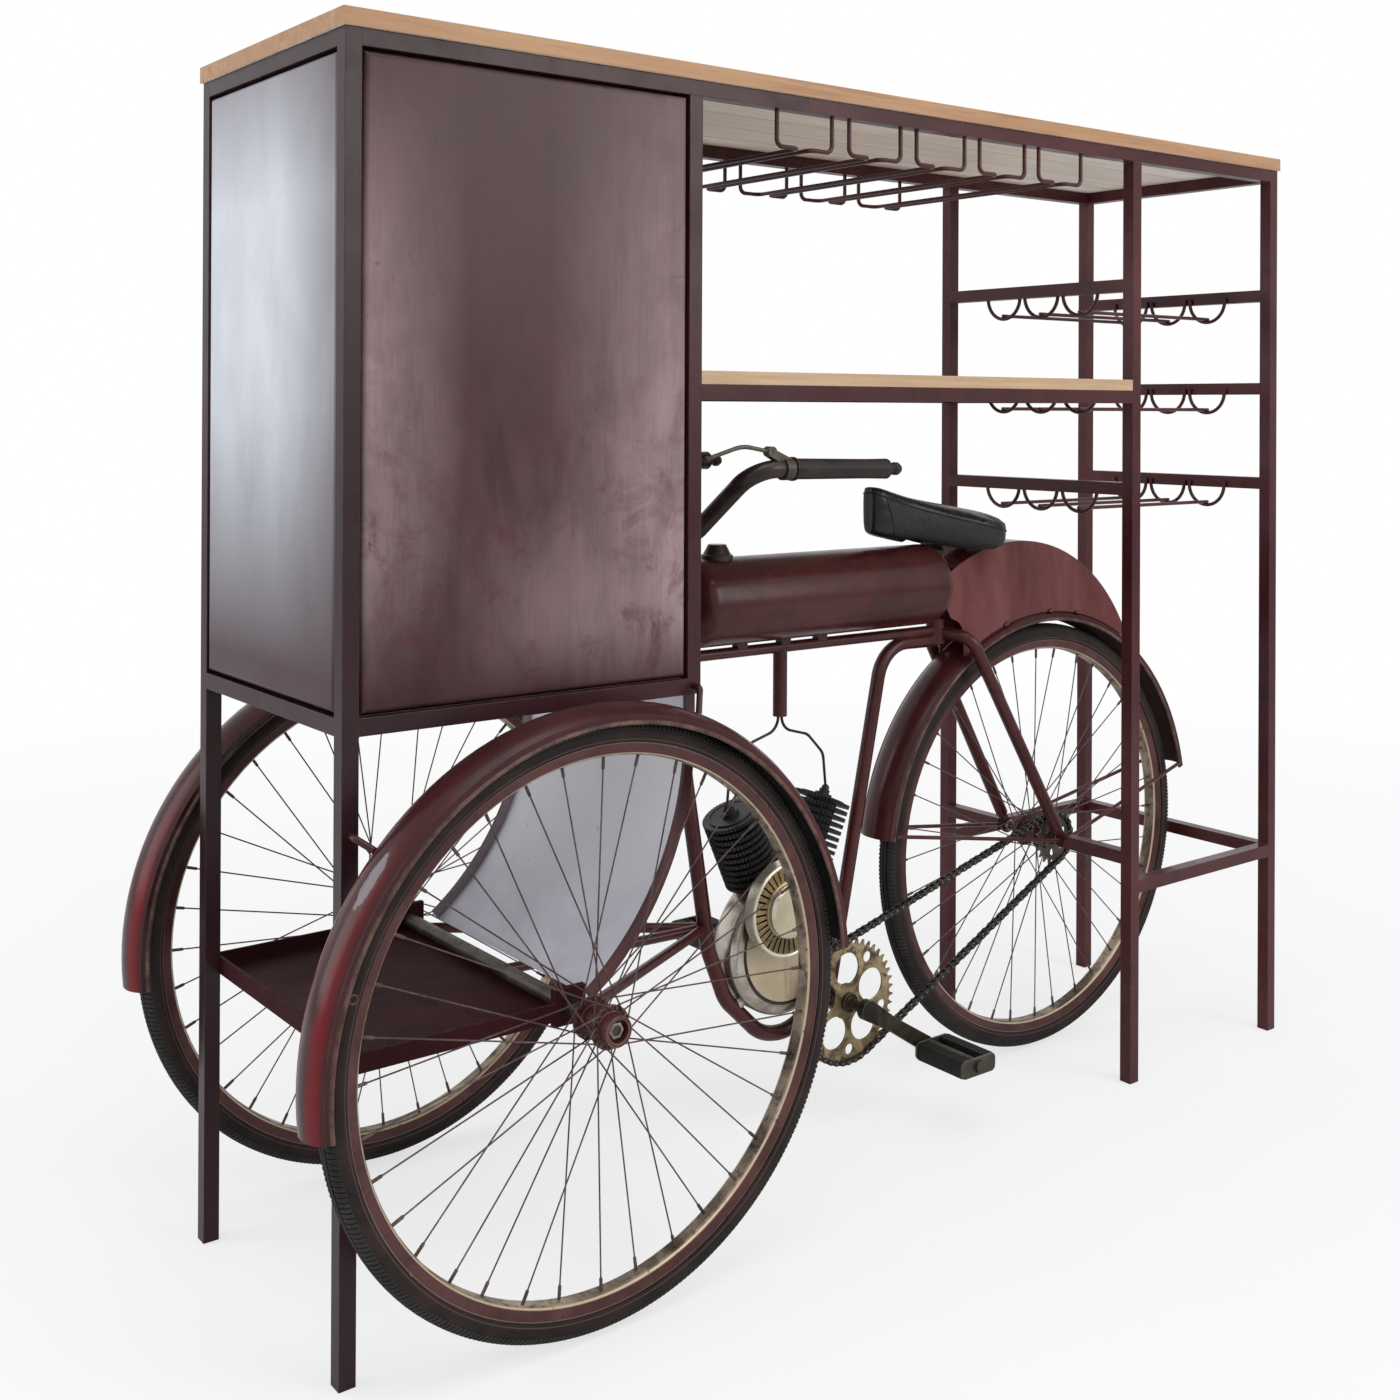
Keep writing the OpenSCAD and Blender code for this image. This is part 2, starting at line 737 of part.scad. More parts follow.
module spoke(side, j) {
    step = 360 / spokes_per_flange;
    hole = (j + (side > 0 ? 0.5 : 0)) * step;
    out = j % 2 == 0 ? 1 : -1;
    rim_turn = hole + out * lace_turn;
    off = spoke_r + (out > 0 ? outer_gap : inner_gap);
    leg_z = side * (flange_z + out * (flange_t / 2 + off));
    start = [hole_circle * cos(hole), hole_circle * sin(hole), leg_z];
    end_r = rim_in - rim_gap;
    end = [end_r * cos(rim_turn), end_r * sin(rim_turn), side * rim_offset];
    length = norm(end - start);
    along(start, end) rotate_extrude($fn = 24)
        polygon([[0, 0], [spoke_r, 0], [spoke_r, length - nipple_l - nipple_taper],
            [nipple_r, length - nipple_l], [nipple_r, length], [0, length]]);
    head = side * (flange_z - out * (flange_t / 2 + weld + head_t));
    neck = spoke_r + head_ease;
    reach = abs(leg_z - head) + spoke_r;
    along([start[0], start[1], head], start + [0, 0, side * out * spoke_r]) rotate_extrude($fn = 24)
        polygon([[0, 0], [nipple_r, 0], [nipple_r, head_t], [neck, head_t], [neck, reach], [0, reach]]);
}

module spokes() color(pale)
    for (side = [-1, 1], j = [0 : spokes_per_flange - 1])
        spoke(side, j);

module near_wheel()
    placed() near_way([front_x, -track, axle_z]) children();

module far_wheel()
    placed() far_way([front_x, track, axle_z]) children();

module rear_wheel()
    placed() near_way([rear_x, 0, axle_z]) children();

module near_tyre() near_wheel() tyre();
module near_rim() near_wheel() rim();
module near_spokes() near_wheel() spokes();
module near_hub() near_wheel() front_hub();
module far_tyre() far_wheel() tyre();
module far_rim() far_wheel() rim();
module far_spokes() far_wheel() spokes();
module far_hub() far_wheel() front_hub();
module rear_tyre() rear_wheel() tyre();
module rear_rim() rear_wheel() rim();
module rear_spokes() rear_wheel() spokes();
module rear_hub() rear_wheel() rear_hub_body();

// Chain drive
ring_teeth = 44;
rear_teeth = 20;
roller_r = 3.7;
seat_deep = 4.3;
tip_h = 3.6;
// Tooth outline: share of the pitch angle, height over the pitch circle
tooth = [[-0.17, -seat_deep], [0.17, -seat_deep], [0.36, 0], [0.45, tip_h], [0.55, tip_h], [0.64, 0]];

function pitch_r(n) = pitch / (2 * sin(180 / n));
function teeth_points(n, first) = [for (i = [0 : n - 1], q = tooth)
    let (a = first + (i + q[0]) * 360 / n, r = pitch_r(n) + q[1]) [r * cos(a), r * sin(a)]];

ring_step = 360 / ring_teeth;
rear_step = 360 / rear_teeth;
ring_rollers = 24;
rear_rollers = 10;
run_links = 39;
ring_edge = 180 - (ring_rollers - 1) / 2 * ring_step;
rear_edge = (rear_rollers - 1) / 2 * rear_step;
run_drop = pitch_r(ring_teeth) * sin(ring_edge) - pitch_r(rear_teeth) * sin(rear_edge);
centres = pitch_r(ring_teeth) * cos(ring_edge) - pitch_r(rear_teeth) * cos(rear_edge)
    + sqrt(pow(run_links * pitch, 2) - run_drop * run_drop);
crank_x = rear_x - centres * cos(chain_rise);
crank_z = axle_z - centres * sin(chain_rise);

ring_pts = [for (i = [0 : ring_rollers - 1]) let (a = ring_edge + i * ring_step)
    pitch_r(ring_teeth) * [cos(a), sin(a)]];
rear_pts = [for (i = [0 : rear_rollers - 1]) let (a = i * rear_step - rear_edge)
    [centres, 0] + pitch_r(rear_teeth) * [cos(a), sin(a)]];

function run_pts(a, b) = [for (i = [1 : run_links - 1]) a + (b - a) * i / run_links];
chain_pts = concat(ring_pts, run_pts(ring_pts[ring_rollers - 1], rear_pts[0]), rear_pts,
    run_pts(rear_pts[rear_rollers - 1], ring_pts[0]));

plate_r = 4.1;
plate_t = 1;
waist = 3.1;
inner_half = 3.1;
link_outline = concat([for (a = [90 : 30 : 270]) plate_r * [cos(a), sin(a)]], [[pitch / 2, -waist]],
    [for (a = [-90 : 30 : 90]) [pitch, 0] + plate_r * [cos(a), sin(a)]], [[pitch / 2, waist]]);

module chain() placed() color(black)
    translate([crank_x, -chain_line, crank_z]) rotate([90, 0, 0]) rotate([0, 0, chain_rise])
        for (i = [0 : len(chain_pts) - 1]) {
            p = chain_pts[i];
            q = chain_pts[(i + 1) % len(chain_pts)];
            low = inner_half + (i % 2) * (plate_t + weld);
            translate(p) {
                cylinder(h = 2 * (inner_half - weld), r = roller_r, center = true, $fn = 24);
                rotate([0, 0, atan2(q[1] - p[1], q[0] - p[0])])
                    for (z = [low, -low - plate_t])
                        translate([0, 0, z]) linear_extrude(plate_t) polygon(link_outline);
            }
        }

sprocket_holes = 6;
sprocket_hole_circle = 24;
sprocket_hole_r = 6;

module rear_sprocket() placed() color(steel)
    near_way([rear_x, -chain_line + sprocket_t / 2, axle_z]) rotate([0, 0, chain_rise])
        linear_extrude(sprocket_t) difference() {
            polygon(teeth_points(rear_teeth, rear_edge));
            circle(r = boss_r + fit, $fn = 64);
            hole_ring(sprocket_holes, sprocket_hole_circle, sprocket_hole_r, 0);
        }

ring_boss_r = 14;
windows = 5;
window_circle = 49;
window_r = 24;
small_circle = 71;
small_r = 8;

module hole_ring(count, circle_r, r, first)
    for (i = [0 : count - 1]) {
        a = first + i * 360 / count;
        translate(circle_r * [cos(a), sin(a)]) circle(r = r, $fn = 48);
    }

module chainring() placed() color(pale)
    near_way([crank_x, -chain_line + sprocket_t / 2, crank_z]) rotate([0, 0, chain_rise])
        linear_extrude(sprocket_t) difference() {
            polygon(teeth_points(ring_teeth, ring_edge));
            circle(r = ring_boss_r + fit, $fn = 64);
            hole_ring(windows, window_circle, window_r, 0);
            hole_ring(windows, small_circle, small_r, 180 / windows);
        }

bracket_half = 34;
spindle_r = 8;
arm_in = 79;
arm_t = 12;
arm_out = arm_in + arm_t;
arm_boss_r = 15;
arm_tip_r = 12;
arm_waist = 10.5;
waist_at = 0.4 * crank_len;
pin_r = 6;
pin_cap_r = 9;
pin_cap_t = 5;
pedal_gap = 10;
pedal_in = arm_out + pedal_gap;
pedal_l = 95;
pedal_out = pedal_in + pedal_l;
shell_end = bracket_half + 2;
ring_flange_r = 26;
near_boss_l = 14;
far_boss_l = 6;

module crank_side(a) {
    tip = crank_len * [cos(a), sin(a)];
    near_way([crank_x, -arm_in, crank_z]) {
        linear_extrude(arm_t) {
            circle(r = arm_boss_r, $fn = 64);
            translate(tip) circle(r = arm_tip_r, $fn = 64);
            rotate([0, 0, a]) polygon([[0, arm_boss_r], [waist_at, arm_waist], [crank_len, arm_tip_r],
                [crank_len, -arm_tip_r], [waist_at, -arm_waist], [0, -arm_boss_r]]);
        }
        translate([tip[0], tip[1], 0]) {
            cylinder(h = pedal_out + clear - arm_in, r = pin_r, $fn = 64);
            translate([0, 0, pedal_out + clear - arm_in]) cylinder(h = pin_cap_t, r = pin_cap_r, $fn = 6);
        }
    }
}

module cranks() placed() color(steel) {
    far_way([crank_x, -arm_out, crank_z]) cylinder(h = 2 * arm_out, r = spindle_r, $fn = 64);
    near_way([crank_x, -shell_end, crank_z]) {
        cylinder(h = chain_line - sprocket_t / 2 - weld - shell_end, r = ring_flange_r, $fn = 64);
        cylinder(h = near_boss_l, r = ring_boss_r, $fn = 64);
    }
    far_way([crank_x, shell_end, crank_z]) cylinder(h = far_boss_l, r = ring_boss_r, $fn = 64);
    crank_side(crank_angle);
    mirror([0, 1, 0]) crank_side(crank_angle + 180);
}

near_pin = [crank_x + crank_len * cos(crank_angle), 0, crank_z + crank_len * sin(crank_angle)];
far_pin = [crank_x - crank_len * cos(crank_angle), 0, crank_z - crank_len * sin(crank_angle)];
pedal_h = 26;
pedal_corner = 8;
pedal_tube_r = 9;
end_t = 3;
tread_w = 20;

module pedal_outline(w, h, r) {
    square([w, h - 2 * r], center = true);
    square([w - 2 * r, h], center = true);
    for (x = [-1, 1], y = [-1, 1])
        translate([x * (w / 2 - r), y * (h / 2 - r)]) circle(r = r, $fn = 32);
}

module pedal()
    difference() {
        union() {
            for (y = [pedal_in, pedal_out - end_t])
                side(-y - end_t, -y) pedal_outline(pedal_w, pedal_h, pedal_corner);
            near_way([0, -pedal_in, 0]) cylinder(h = pedal_l, r = pedal_tube_r, $fn = 64);
        }
        near_way([0, 1 - pedal_in, 0]) cylinder(h = pedal_l + 2, r = pin_r + fit, $fn = 64);
    }

ribs = 5;
rib_d = 1.5;
tread_inset = 2;
tread_drop = 0.5;
// Rib outline: share of the rib width, height
rib_steps = [[0.1, -rib_d], [0.25, 0], [0.75, 0], [0.9, -rib_d]];

module treads() {
    half_h = pedal_h / 2 - tread_drop;
    rib = tread_w / ribs;
    upper = [for (i = [0 : ribs - 1], q = rib_steps) [-tread_w / 2 + (i + q[0]) * rib, half_h + q[1]]];
    lower = [for (p = upper) [-p[0], -p[1]]];
    for (x = [-1, 1])
        side(-pedal_out + end_t + weld, -pedal_in - end_t - weld)
            translate([x * (pedal_w / 2 - tread_w / 2 - tread_inset), 0]) polygon(concat(upper, lower));
}

module near_pedal() placed() color(steel) translate(near_pin) pedal();
module far_pedal() placed() color(steel) translate(far_pin) mirror([0, 1, 0]) pedal();
module near_treads() placed() color(black) translate(near_pin) treads();
module far_treads() placed() color(black) translate(far_pin) mirror([0, 1, 0]) treads();

// Bicycle frame
bracket_shell_r = 20;
lug_x = rear_x - 236;
lug_low = 690;
lug_top = 730;
lug_r = 15;
seat_pts = [[lug_x, 0, 695], [lug_x - 115, 0, 697], [crank_x, 0, crank_z]];
seat_bend = 60;
down_bend = 70;
stay_knee = [lug_x + 30, -50, 700];
seat_stay_r = 10;
seat_stay_bend = 30;
fork_y = 60;
fork_t = 5;
fork_l = 40;
fork_w = 16;
fork_eye_r = 13;
fork_gap = 26;
head_low = [head_x, 0, 690];
head_top = [head_x - 14, 0, 800];
head_r = 17;
drop_x = head_x + 202;
drop_z = 610;
drop_r = 10.5;
wire_bore = 6.5;
wire_bore_h = 50;
fork_back = unit(stay_knee - [rear_x, -fork_y, axle_z]);

module seat_stay() {
    tail = [rear_x, -fork_y, axle_z] + fork_back * fork_gap;
    bent_rod([[lug_x, 0, top_tube_z], stay_knee, tail], seat_stay_r, seat_stay_bend);
    a = atan2(fork_back[2], fork_back[0]);
    side(-fork_y - fork_t / 2, -fork_y + fork_t / 2) difference() {
        translate([rear_x, axle_z]) {
            circle(r = fork_eye_r, $fn = 64);
            rotate([0, 0, a]) translate([0, -fork_w / 2]) square([fork_l, fork_w]);
        }
        translate([rear_x, axle_z]) circle(r = axle_r + fit, $fn = 48);
    }
}

module bike_frame() placed() color(red)
    difference() {
        union() {
            rod([head_x, 0, top_tube_z], [lug_x, 0, top_tube_z], top_tube_r);
            bent_rod(concat(down_pts, [[crank_x, 0, crank_z]]), down_tube_r, down_bend);
            bent_rod(seat_pts, seat_tube_r, seat_bend);
            far_way([crank_x, -bracket_half, crank_z])
                cylinder(h = 2 * bracket_half, r = bracket_shell_r, $fn = 64);
            translate([lug_x, 0, lug_low]) cylinder(h = lug_top - lug_low, r = lug_r, $fn = 64);
            rod(head_low, head_top, head_r);
            translate([drop_x, 0, drop_z]) cylinder(h = top_tube_z - drop_z, r = drop_r, $fn = 48);
            both_sides() seat_stay();
        }
        far_way([crank_x, -bracket_half - 1, crank_z])
            cylinder(h = 2 * bracket_half + 2, r = spindle_r + fit, $fn = 64);
        translate([drop_x, 0, drop_z - 1]) cylinder(h = wire_bore_h, r = wire_bore, $fn = 48);
    }

// Tank
tank_x0 = head_x + 20;
tank_x1 = lug_x - 12;
tank_lift = 12;
tank_z = top_tube_z + tank_lift + tank_r;
tank_edge = 25;
spacer_xs = [head_x + 126, head_x + 208, head_x + 280];
spacer_l = 18;
spacer_w = 14;
spacer_h = tank_lift + 4;

module can_profile(r, length, edge) {
    square([r - edge, length]);
    translate([0, edge]) square([r, length - 2 * edge]);
    for (y = [edge, length - edge])
        translate([r - edge, y]) circle(r = edge, $fn = 64);
}

module tank() placed() color(red)
    difference() {
        union() {
            along([tank_x0, 0, tank_z], [tank_x1, 0, tank_z]) rotate_extrude($fn = 96)
                can_profile(tank_r, tank_x1 - tank_x0, tank_edge);
            for (x = spacer_xs)
                box([x - spacer_l / 2, -spacer_w / 2, top_tube_z],
                    [x + spacer_l / 2, spacer_w / 2, top_tube_z + spacer_h]);
        }
        rod([head_x, 0, top_tube_z], [lug_x, 0, top_tube_z], top_tube_r + weld);
        box([tank_x0, -spacer_w, top_tube_z - spacer_l], [tank_x1, spacer_w, top_tube_z]);
    }

cap_x = tank_x0 + 63;
cap_r = 23;
cap_band = 12;
cap_step = 3;
cap_top_r = 13;
cap_h = 27;
cap_sink = 8;

module tank_cap() placed() color(pale)
    difference() {
        translate([cap_x, 0, tank_z + tank_r - cap_sink]) rotate_extrude($fn = 64)
            polygon([[0, 0], [cap_r, 0], [cap_r, cap_band], [cap_r - cap_step, cap_band + cap_step / 2],
                [cap_top_r, cap_h], [0, cap_h]]);
        rod([tank_x0, 0, tank_z], [tank_x1, 0, tank_z], tank_r + weld);
    }

cowl_half = 28;
cowl_top = 847;
cowl_r = 312;
cowl_centre = [rear_x - 75, cowl_top - cowl_r];
cowl_seat = 7.5;
cowl_floor = 560;
// Front edge of the cowl in x and z, from the tank down past the seat stays to the guard
cowl_edge = [for (p = [[-9, 820], [-9.5, 776], [-6, 752], [6, 732], [24, 724], [32, 714], [36, 690],
    [42, cowl_floor]]) [lug_x + p[0], p[1]]];
cowl_back = lug_x + lug_r;

module cowl_side(r, cut)
    difference() {
        translate(cowl_centre) circle(r = r, $fn = 180);
        translate([rear_x, axle_z]) circle(r = cut, $fn = 180);
        polygon(concat([[cowl_centre[0] - 2 * cowl_r, cowl_edge[0][1]]], cowl_edge,
            [[cowl_centre[0] - 2 * cowl_r, cowl_floor]]));
        translate([cowl_centre[0] - 2 * cowl_r, cowl_floor - 2 * cowl_r]) square([4 * cowl_r, 2 * cowl_r]);
    }

module rear_cowl() placed() color(red)
    difference() {
        side(-cowl_half, cowl_half) cowl_side(cowl_r, rear_guard_r - cowl_seat);
        side(-cowl_half + sheet, cowl_half - sheet) {
            translate(cowl_centre) circle(r = cowl_r - sheet, $fn = 180);
            translate([rear_x, axle_z]) circle(r = rear_guard_r + clear, $fn = 180);
            translate([cowl_back - cowl_r, cowl_floor]) square([cowl_r, cowl_r]);
        }
    }

// Engine
case_x = head_x + 198;
case_z = 280;
case_half = 28;
case_edge = 14;
case_groove_r = 80;
case_groove_w = 5;
case_groove_d = 3;
foot_way = unit([-0.696, 0, -0.718]);
foot_r = 10;
foot_in = 8;
foot_out = 12;

module crankcase() placed() color(pale)
    difference() {
        centre = [case_x, 0, case_z];
        union() {
            far_way([case_x, -case_half, case_z]) rotate_extrude($fn = 120) difference() {
                can_profile(case_r, 2 * case_half, case_edge);
                for (y = [0, 2 * case_half])
                    translate([case_groove_r, y - case_groove_d]) square([case_groove_w, 2 * case_groove_d]);
            }
            rod(centre + foot_way * (case_r - foot_in), centre + foot_way * (case_r + foot_out), foot_r);
        }
        rod(down_pts[2], down_pts[3], down_tube_r + weld);
    }

cover_d = 72.6;
cover_r = 68;
cover_y = fin_r + 2;
cover_t = 17;
cover_neck = 28;
rim_bead = 3;
cap_face_r = 39;
cap_face_h = 12;
cap_round = 4;
louvre_r = 52;
louvre_l = 21;
louvre_w = 2.6;
louvre_d = 14;
louvre_tilt = 35;

module round_cover() placed() color(pale)
    near_way([case_x - cover_d * sin(lean), -case_half - weld, case_z + cover_d * cos(lean)]) {
        back = cover_y - case_half;
        cylinder(h = back + 2, r = cover_neck, $fn = 64);
        difference() {
            translate([0, 0, back]) rotate_extrude($fn = 120) square([cover_r, cover_t]);
            for (i = [0 : louvres - 1])
                rotate([0, 0, i * 360 / louvres]) translate([louvre_r, 0, back + cover_t])
                    rotate([louvre_tilt, 0, 0]) cube([louvre_l, louvre_w, louvre_d], center = true);
        }
        translate([0, 0, back + cover_t]) rotate_extrude($fn = 120) {
            translate([cover_r - rim_bead, 0]) circle(r = rim_bead - weld, $fn = 32);
            polygon([[0, -1], [cap_face_r, -1], [cap_face_r, cap_face_h - cap_round],
                [cap_face_r - cap_round, cap_face_h], [0, cap_face_h]]);
        }
    }

fins = 11;
fin_teeth = 48;
fin_t = 5.5;
fin_low = 112;
fin_step = 10;
tooth_d = 2.6;
core_r = 24;
case_gap = 0.3;
core_ease = 2;
stack_top = fin_low + (fins - 1) * fin_step + fin_t;
top_ring_r = 33;
top_ring_w = 2;
terminal_r = 13;
tip_r = 8;
terminal_h = 6;
ball_r = 6;
ball_d = stack_top + 2 * terminal_h + 2;
fin_outline = [for (i = [0 : fin_teeth - 1], q = [[0, -tooth_d], [0.5, 0]])
    let (a = (i + q[0]) * 360 / fin_teeth, r = fin_r + q[1]) [r * cos(a), r * sin(a)]];

module cylinders() placed() color(black)
    for (s = [-1, 1])
        translate([case_x, 0, case_z]) rotate([0, s * lean, 0]) {
            foot = case_r + case_gap;
            rotate_extrude($fn = 64)
                polygon([[0, foot], [core_r, foot + core_ease], [core_r, stack_top - 1],
                    [top_ring_r, stack_top - 1],
                    [top_ring_r, stack_top + top_ring_w], [top_ring_r - top_ring_w, stack_top + top_ring_w],
                    [top_ring_r - top_ring_w, stack_top + 1], [terminal_r, stack_top + 1],
                    [terminal_r, stack_top + terminal_h], [tip_r, stack_top + terminal_h],
                    [tip_r, stack_top + 2 * terminal_h], [0, stack_top + 2 * terminal_h]]);
            translate([0, 0, ball_d]) sphere(r = ball_r, $fn = 48);
            for (i = [0 : fins - 1])
                translate([0, 0, fin_low + i * fin_step]) linear_extrude(fin_t) polygon(fin_outline);
        }

plug_r = 2;
plug_bend = 24;
plug_gap = 3.3;
plug_up = 34;
plug_split = 19;
plug_out = 54;
plug_fall = 33;
plug_turn_in = 5;
plug_turn_z = 545;

module plug_wires() placed() color(black)
    for (s = [-1, 1]) {
        end_x = case_x + s * ball_d * sin(lean);
        end_z = case_z + ball_d * cos(lean) + ball_r + weld;
        start_x = drop_x + s * plug_gap;
        bent_rod([[start_x, 0, drop_z + plug_up], [start_x, 0, drop_z - plug_split],
            [drop_x + s * plug_out, 0, drop_z - plug_fall], [end_x - s * plug_turn_in, 0, plug_turn_z],
            [end_x, 0, end_z]], plug_r, plug_bend);
    }

// Seat
nose_x = lug_x - 150;
nose_z = 949;
saddle_l = 260;
saddle_fall = 0.223;
skirt_z = 866;
skirt_slope = 45;
skirt_lift = 10;
tail_from = 0.86;
tail_lift = 42;
nose_to = 0.1;
nose_half = 27;
nose_blunt = 0.75;
tail_blunt = 0.6;
tail_skirt = 0.8;
end_drop = 8;
top_crown = 0.7;
skirt_crown = 0.45;
side_crown = 0.5;
wing = 52;
wing_from = 0.22;
wing_span = 0.6;
draw_in = 0.13;
channel_from = nose_x + 72;
channel_full = nose_x + 152;
channel_in = 14;
channel_half = 31;
channel_z = 884;
channel_fall = 36;
saddle_stations = 20;
saddle_ring = 32;

function saddle_u(x) = (x - nose_x) / saddle_l;
function saddle_top(u) = nose_z - saddle_fall * u * saddle_l;
function tail_t(u) = max(0, u - tail_from) / (1 - tail_from);
function saddle_low(u) = skirt_z - skirt_slope * u + skirt_lift * u * u
    + tail_lift * (1 - sqrt(1 - tail_skirt * pow(tail_t(u), 2)));
function channel_top(u) = channel_z - channel_fall * u;
function smooth(t) = let (c = min(1, max(0, t))) c * c * (3 - 2 * c);
function saddle_half(u) = nose_half + wing * smooth((u - wing_from) / wing_span);
function nose_t(u) = max(0, nose_to - u) / nose_to;
function end_round(u) = sqrt(1 - nose_blunt * pow(nose_t(u), 2)) * sqrt(1 - tail_blunt * pow(tail_t(u), 2));
function power(v, e) = sign(v) * pow(abs(v), e);
function saddle_point(u, a) = let (
    half = saddle_half(u) * end_round(u),
    top = saddle_top(u) - end_drop * (1 - end_round(u)),
    low = saddle_low(u) + end_drop * (1 - end_round(u)),
    draw = 1 - draw_in * (1 - sin(a)) / 2,
    crown = sin(a) > 0 ? top_crown : skirt_crown)
    [nose_x + u * saddle_l, half * draw * power(cos(a), side_crown),
        (top + low) / 2 + (top - low) / 2 * power(sin(a), crown)];

saddle_us = [for (i = [0 : saddle_stations - 1]) let (t = i / (saddle_stations - 1)) (1 - cos(180 * t)) / 2];

module saddle_body() {
    points = [for (u = saddle_us, j = [0 : saddle_ring - 1]) saddle_point(u, (j + 0.5) * 360 / saddle_ring)];
    last = (saddle_stations - 1) * saddle_ring;
    walls = [for (i = [0 : saddle_stations - 2], j = [0 : saddle_ring - 1], k = [0, 1])
        let (a = i * saddle_ring + j, b = i * saddle_ring + (j + 1) % saddle_ring)
            k == 0 ? [a, a + saddle_ring, b] : [b, a + saddle_ring, b + saddle_ring]];
    nose_face = [for (j = [0 : saddle_ring - 1]) j];
    tail_face = [for (j = [saddle_ring - 1 : -1 : 0]) last + j];
    polyhedron(points = points, faces = concat([nose_face], walls, [tail_face]));
}

// Hollow under the saddle for its rails, the post and the cowl
module saddle_channel() {
    tail = nose_x + saddle_l + 20;
    intersection() {
        side(-channel_half, channel_half)
            polygon([[channel_from, channel_top(saddle_u(channel_from))], [tail, channel_top(saddle_u(tail))],
                [tail, lug_top], [channel_from, lug_top]]);
        translate([0, 0, lug_top]) linear_extrude(nose_z - lug_top)
            polygon([[channel_from, -channel_in], [channel_full, -channel_half], [tail, -channel_half],
                [tail, channel_half], [channel_full, channel_half], [channel_from, channel_in]]);
    }
}

module saddle() placed() color(black)
    difference() {
        saddle_body();
        saddle_channel();
    }

post_r = 10;
rail_wire = 3.5;
rail_y = 15;
rail_gap = 0.35;
rail_from = lug_x - 33;
rail_to = lug_x + 72;
clamp_drop = 14;
clamp_half = 24;
clamp_r = 11;

function rail_point(x, y) = [x, y, channel_top(saddle_u(x)) - rail_wire - rail_gap];

module seat_post() placed() color(dark) {
    clamp_z = channel_top(saddle_u(lug_x)) - clamp_drop;
    translate([lug_x, 0, lug_top]) cylinder(h = clamp_z - lug_top, r = post_r, $fn = 64);
    far_way([lug_x, -clamp_half, clamp_z]) cylinder(h = 2 * clamp_half, r = clamp_r, $fn = 64);
    for (y = [-rail_y, rail_y])
        rod(rail_point(rail_from, y), rail_point(rail_to, y), rail_wire);
}

// Steering
bar_z = 893;
bar_x = head_x - 18;
bar_flat = 80;
bar_bend = 40;
bar_corner = [bar_x + 4, -bar_half, 984];
bar_end = [bar_x + 238, -bar_half, 980];
stem_r = 11;
stem_up = 20;
clamp_w = 44;
clamp_out = 18;

function mirrored(p) = [p[0], -p[1], p[2]];

module handlebar() placed() color(dark)
    bent_rod([bar_end, bar_corner, [bar_x, -bar_flat, bar_z], [bar_x, bar_flat, bar_z],
        mirrored(bar_corner), mirrored(bar_end)], bar_r, bar_bend);

module stem() placed() color(dark)
    difference() {
        union() {
            up = unit(head_top - head_low);
            bent_rod([head_top + up * weld, head_top + up * stem_up, [bar_x, 0, bar_z]], stem_r, bar_bend);
            far_way([bar_x, -clamp_w / 2, bar_z]) cylinder(h = clamp_w, r = clamp_out, $fn = 64);
        }
        far_way([bar_x, -clamp_w, bar_z]) cylinder(h = 2 * clamp_w, r = bar_r + fit, $fn = 64);
    }

grip_from = 62;
grip_r = 14;
collar_r = 16;
collar_l = 4;
grip_ease = 3;
grip_waist = 0.6;
waist_back = 40;
end_r = 9;
end_neck = 6;
// Ball end of the grip: radius, length past the bar's end
grip_ball = [[end_r, 6], [end_neck, 8], [end_neck, 11], [end_r, 15], [end_r, 21], [end_neck, 26], [0, 27]];

module grips() placed() color(black)
    both_sides() {
        length = norm(bar_end - bar_corner);
        along(bar_corner, bar_end) difference() {
            rotate_extrude($fn = 64)
                polygon(concat([[0, grip_from], [collar_r, grip_from], [collar_r, grip_from + collar_l],
                    [grip_r, grip_from + collar_l + grip_ease], [grip_r - grip_waist, length - waist_back],
                    [grip_r, length]], [for (q = grip_ball) [q[0], length + q[1]]]));
            cylinder(h = length + weld, r = bar_r + fit, $fn = 64);
        }
    }

lever_x = bar_x + 30;
lever_z = 1006;
ear_t = 3;
ear_r = 7;
ear_reach = 32;
ear_front = 20;
ear_lead = 3.5;
ear_up = 6;
ear_seat = 4;
ear_tall = 9;
lever_t = 6;
pivot_r = 3;
band_at = 46;
band_l = 14;
band_t = 3;
blade_r = 2.8;
blade_bend = 60;
blade_pts = [[lever_x, -bar_half, lever_z], [lever_x - 46, -bar_half, lever_z + 8],
    [lever_x - 104, -bar_half, lever_z - 8]];
blade_end_r = 4.5;

module bracket_ear()
    side(-ear_t / 2, ear_t / 2) {
        top_of_bar = bar_corner[2] + ear_seat;
        translate([lever_x, lever_z]) circle(r = ear_r, $fn = 48);
        polygon([[lever_x - ear_lead, lever_z + ear_up], [lever_x - ear_lead, lever_z - ear_up],
            [lever_x + ear_front, top_of_bar], [lever_x + ear_reach, top_of_bar],
            [lever_x + ear_reach, top_of_bar + ear_tall]]);
    }

module lever_brackets() placed() color(steel)
    both_sides()
        difference() {
            union() {
                along(bar_corner, bar_end) translate([0, 0, band_at])
                    cylinder(h = band_l, r = bar_r + band_t, $fn = 64);
                for (y = [-1, 1])
                    translate([0, -bar_half + y * (lever_t / 2 + clear + ear_t / 2), 0]) bracket_ear();
                far_way([lever_x, -bar_half - lever_t / 2 - clear - ear_t, lever_z])
                    cylinder(h = lever_t + 2 * (clear + ear_t), r = pivot_r, $fn = 48);
            }
            rod(bar_corner, bar_end, bar_r + fit);
        }

